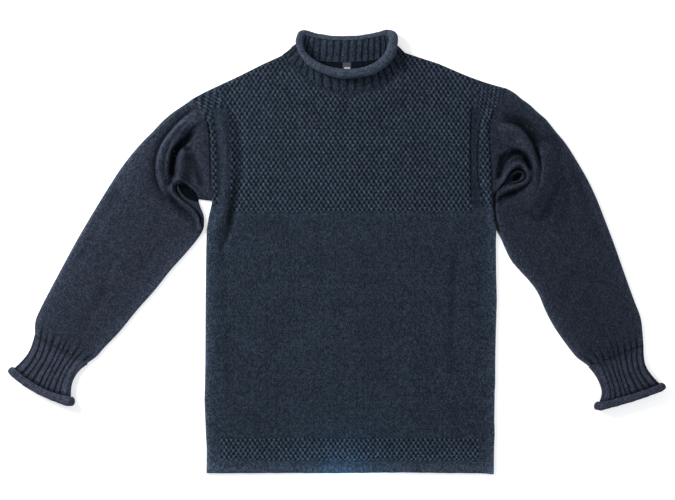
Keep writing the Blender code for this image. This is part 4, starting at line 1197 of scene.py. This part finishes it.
class Nodes:
    """Short calls for making a material's node tree."""

    def __init__(self, name):
        self.material = bpy.data.materials.new(name)
        self.material.use_nodes = True
        self.tree = self.material.node_tree
        self.shader = self.tree.nodes["Principled BSDF"]

    def node(self, kind, settings=(), **values):
        made = self.tree.nodes.new(kind)
        for key, value in dict(settings).items():
            setattr(made, key, value)
        for key, value in values.items():
            self.put(made.inputs[key.replace("_", " ")], value)
        return made

    def put(self, socket, value):
        if isinstance(value, bpy.types.NodeSocket):
            self.tree.links.new(value, socket)
        else:
            socket.default_value = value

    def math(self, operation, *values, clamp=False):
        made = self.tree.nodes.new("ShaderNodeMath")
        made.operation = operation
        made.use_clamp = clamp
        for socket, value in zip(made.inputs, values):
            self.put(socket, value)
        return made.outputs[0]

    def ramp(self, value, low, high, out_low=0.0, out_high=1.0):
        made = self.tree.nodes.new("ShaderNodeMapRange")
        for socket, number in zip(made.inputs, (value, low, high, out_low, out_high)):
            self.put(socket, number)
        return made.outputs[0]

    def mix(self, factor, first, second, blend="MIX"):
        made = self.tree.nodes.new("ShaderNodeMix")
        made.data_type = "RGBA"
        made.blend_type = blend
        colours = [s for s in made.inputs if s.type == "RGBA"]
        self.put(made.inputs[0], factor)
        self.put(colours[0], first)
        self.put(colours[1], second)
        return next(s for s in made.outputs if s.type == "RGBA")

    def noise(self, vector, scale, detail=2.0, rough=0.5):
        made = self.node("ShaderNodeTexNoise", Vector=vector, Scale=scale, Detail=detail, Roughness=rough)
        return made.outputs["Fac"]

    def random(self, dimensions, **place):
        """A random value for each whole place."""
        made = self.node("ShaderNodeTexWhiteNoise", {"noise_dimensions": dimensions}, **place)
        return made.outputs["Value"]

    def finish(self, **values):
        """Sets the shader's inputs."""
        for key, value in values.items():
            self.put(self.shader.inputs[key.replace("_", " ")], value)
        return self.material


def knit_look(name, pale, tint, stitch_depth, contrast):
    """Heathered wool yarn in stocking stitch: V-shaped stitches, loose fibres and pale flecks."""
    n = Nodes(name)
    place = n.node("ShaderNodeTexCoord")
    split = n.node("ShaderNodeSeparateXYZ", Vector=place.outputs["UV"])
    wale = n.math("MULTIPLY", split.outputs[0], 1000.0 / WALE)
    course = n.math("MULTIPLY", split.outputs[1], 1000.0 / COURSE)
    from_middle = n.math("ABSOLUTE", n.math("SUBTRACT", n.math("FRACT", wale), 0.5))
    leg = n.math("SINE", n.math("MULTIPLY", from_middle, 2.0 * math.pi))
    slant = n.math("ADD", course, n.math("MULTIPLY", from_middle, 1.3))
    strand = n.math("ABSOLUTE", n.math("SINE", n.math("MULTIPLY", slant, math.pi)))
    stitch = n.math("MULTIPLY", n.math("ADD", n.math("MULTIPLY", leg, 0.6), 0.4), strand)
    cell = n.node("ShaderNodeCombineXYZ", X=n.math("FLOOR", n.math("MULTIPLY", wale, 2.0)),
                  Y=n.math("FLOOR", slant)).outputs[0]
    strand_tone = n.random("2D", Vector=cell)
    row_tone = n.random("1D", W=n.math("FLOOR", course))
    wale_tone = n.random("1D", W=n.math("FLOOR", wale))

    position = place.outputs["Object"]
    heather = n.noise(position, 420.0, 3.0, 0.7)
    fibre = n.noise(position, 1900.0, 2.0, 0.6)
    cloud = n.noise(position, 34.0, 3.0, 0.6)
    fleck = n.noise(position, 260.0, 1.0, 0.4)

    hue = n.noise(position, 150.0, 2.0, 0.6)

    # tone is the shade attribute, with its painted shade and painted light, times the wool's own random
    # tones; above 1 the painted light makes the colour paler than the crest
    tone = n.node("ShaderNodeAttribute", {"attribute_name": "shade"}).outputs["Fac"]
    for value, low, high, least, most in (
        (heather, 0.28, 0.72, 1.0 - contrast, 1.0 + contrast),
        (strand_tone, 0.0, 1.0, 1.0 - 0.6 * contrast, 1.0 + 0.6 * contrast),
        (row_tone, 0.0, 1.0, 0.94, 1.06),
        (wale_tone, 0.0, 1.0, 0.95, 1.05),
        (cloud, 0.3, 0.7, 0.97, 1.03),
        (stitch, 0.0, 1.0, 0.55, 1.25),
    ):
        tone = n.math("MULTIPLY", tone, n.ramp(value, low, high, least, most))
    crest = n.mix(n.ramp(hue, 0.35, 0.65), pale, tint)
    colour = n.mix(n.math("MINIMUM", tone, 1.0), DARK_WOOL, crest)
    lit = n.math("MINIMUM", n.math("MAXIMUM", tone, 1.0), 2.0)
    colour = n.node("ShaderNodeVectorMath", {"operation": "SCALE"}, Vector=colour, Scale=lit).outputs[0]
    spot = n.ramp(fleck, 0.738, 0.79)
    colour = n.mix(n.math("MULTIPLY", spot, 0.5), colour, PALE_FIBRE)
    height = n.math("ADD", n.math("MULTIPLY", stitch, stitch_depth), n.math("MULTIPLY", heather, 0.5))
    height = n.math("ADD", height, n.math("MULTIPLY", fibre, 0.16))
    bump = n.node("ShaderNodeBump", Height=height, Distance=0.001, Strength=0.9)
    return n.finish(Base_Color=colour, Normal=bump.outputs[0], Roughness=n.ramp(fibre, 0.3, 0.7, 0.86, 0.98),
                    Specular_IOR_Level=0.05, Sheen_Weight=0.04, Sheen_Roughness=0.42,
                    Sheen_Tint=(0.62, 0.74, 1.0, 1.0))


def label_look():
    """Dark satin tape with a fine weave and one small plain pale mark near its lower end."""
    n = Nodes("label_tape")
    place = n.node("ShaderNodeTexCoord")
    split = n.node("ShaderNodeSeparateXYZ", Vector=place.outputs["Object"])
    across = n.math("MULTIPLY", n.math("SUBTRACT", split.outputs[0], LABEL_X * MM), 1000.0)
    up = n.math("MULTIPLY", n.math("SUBTRACT", split.outputs[1], MARK_Y * MM), 1000.0)
    wide = n.math("LESS_THAN", n.math("ABSOLUTE", across), MARK_HALF_WIDTH)
    tall = n.math("LESS_THAN", n.math("ABSOLUTE", up), MARK_HALF_HEIGHT)
    mark = n.math("MULTIPLY", wide, tall)
    weave = n.math("MULTIPLY", n.math("SINE", n.math("MULTIPLY", across, 14.0)),
                   n.math("SINE", n.math("MULTIPLY", up, 11.0)))
    wear_and_edge_light = n.noise(place.outputs["Object"], 900.0, 2.0)
    tape = n.mix(n.ramp(weave, -1.0, 1.0, 0.2, 0.8), (0.025, 0.030, 0.042, 1.0), (0.065, 0.078, 0.10, 1.0))
    colour = n.mix(n.math("MULTIPLY", mark, n.ramp(wear_and_edge_light, 0.35, 0.6, 0.55, 0.95)), tape,
                   (0.66, 0.68, 0.72, 1.0))
    bump = n.node("ShaderNodeBump", Height=weave, Distance=0.0002, Strength=0.5)
    return n.finish(Base_Color=colour, Normal=bump.outputs[0], Roughness=n.ramp(wear_and_edge_light, 0.3, 0.7, 0.42, 0.6))


def floor_look():
    n = Nodes("pale_floor")
    place = n.node("ShaderNodeTexCoord")
    tone = n.noise(place.outputs["Object"], 3.0)
    colour = n.mix(n.ramp(tone, 0.3, 0.7), (0.93, 0.93, 0.935, 1.0), (0.95, 0.95, 0.95, 1.0))
    return n.finish(Base_Color=colour, Roughness=0.9, Specular_IOR_Level=0.1,
                    Emission_Color=(1.0, 1.0, 1.0, 1.0), Emission_Strength=FLOOR_GLOW)


def make_floor():
    data = bpy.data.meshes.new("floor")
    half = FLOOR_HALF_WIDTH
    corners = [(x, y, FLOOR_Z) for x, y in ((-half, -half), (half, -half), (half, half), (-half, half))]
    data.from_pydata(corners, [], [(0, 1, 2, 3)])
    data.materials.append(floor_look())
    floor = bpy.data.objects.new("floor", data)
    bpy.context.scene.collection.objects.link(floor)


def area_light(name, place, target, size, power, colour):
    data = bpy.data.lights.new(name, "AREA")
    data.shape = "SQUARE"
    data.size = size
    data.energy = power
    data.color = colour
    made = bpy.data.objects.new(name, data)
    made.location = place
    made.rotation_euler = (Vector(target) - Vector(place)).to_track_quat("-Z", "Y").to_euler()
    bpy.context.scene.collection.objects.link(made)


def make_lights():
    world = bpy.data.worlds.new("studio")
    world.use_nodes = True
    background = world.node_tree.nodes["Background"]
    background.inputs["Color"].default_value = (0.96, 0.98, 1.0, 1.0)
    background.inputs["Strength"].default_value = WORLD_LIGHT
    bpy.context.scene.world = world
    area_light("key", (-1.7, 1.1, 1.35), (0.0, 0.0, 0.0), 0.9, KEY_POWER, (1.0, 0.99, 0.97))
    area_light("fill", (1.3, -0.9, 2.2), (0.0, 0.0, 0.0), 2.0, FILL_POWER, (0.93, 0.96, 1.0))
    area_light("hem_glow", (-0.009, -0.396, 0.066), (-0.009, -0.392, 0.0), 0.04, HEM_POWER, (0.25, 0.72, 1.0))


def make_camera():
    data = bpy.data.cameras.new("camera")
    data.sensor_width = SENSOR_WIDTH
    data.lens = SENSOR_WIDTH * CAMERA_HEIGHT / VIEW_WIDTH
    data.clip_end = 50.0
    made = bpy.data.objects.new("camera", data)
    made.location = (VIEW_X, 0.0, CAMERA_HEIGHT)
    bpy.context.scene.collection.objects.link(made)
    bpy.context.scene.camera = made


def main():
    bpy.context.scene.view_settings.view_transform = "Standard"
    make_camera()
    make_lights()
    make_floor()
    plain, arms, rib, cuff = (knit_look(*yarn) for yarn in YARNS)
    back_piece(plain)
    front_pieces(plain)
    # The two tones differ by painted light: the left sleeve is nearer the key light and paler
    sleeve_piece("arm_left", "sleeve_left", LEFT_SLEEVE, -1, 0.43, LEFT_SLEEVE_GLOW, 0.0, arms)
    sleeve_piece("arm_right", "sleeve_right", RIGHT_SLEEVE, 1, 0.375, RIGHT_SLEEVE_GLOW, 1.0, arms)
    neck_pieces(rib, plain)
    cuff_pieces("left", LEFT_CUFF, LEFT_SWELL, 0.68, cuff, cuff)
    cuff_pieces("right", RIGHT_CUFF, RIGHT_SWELL, 0.57, cuff, cuff)
    label_piece(label_look())


main()
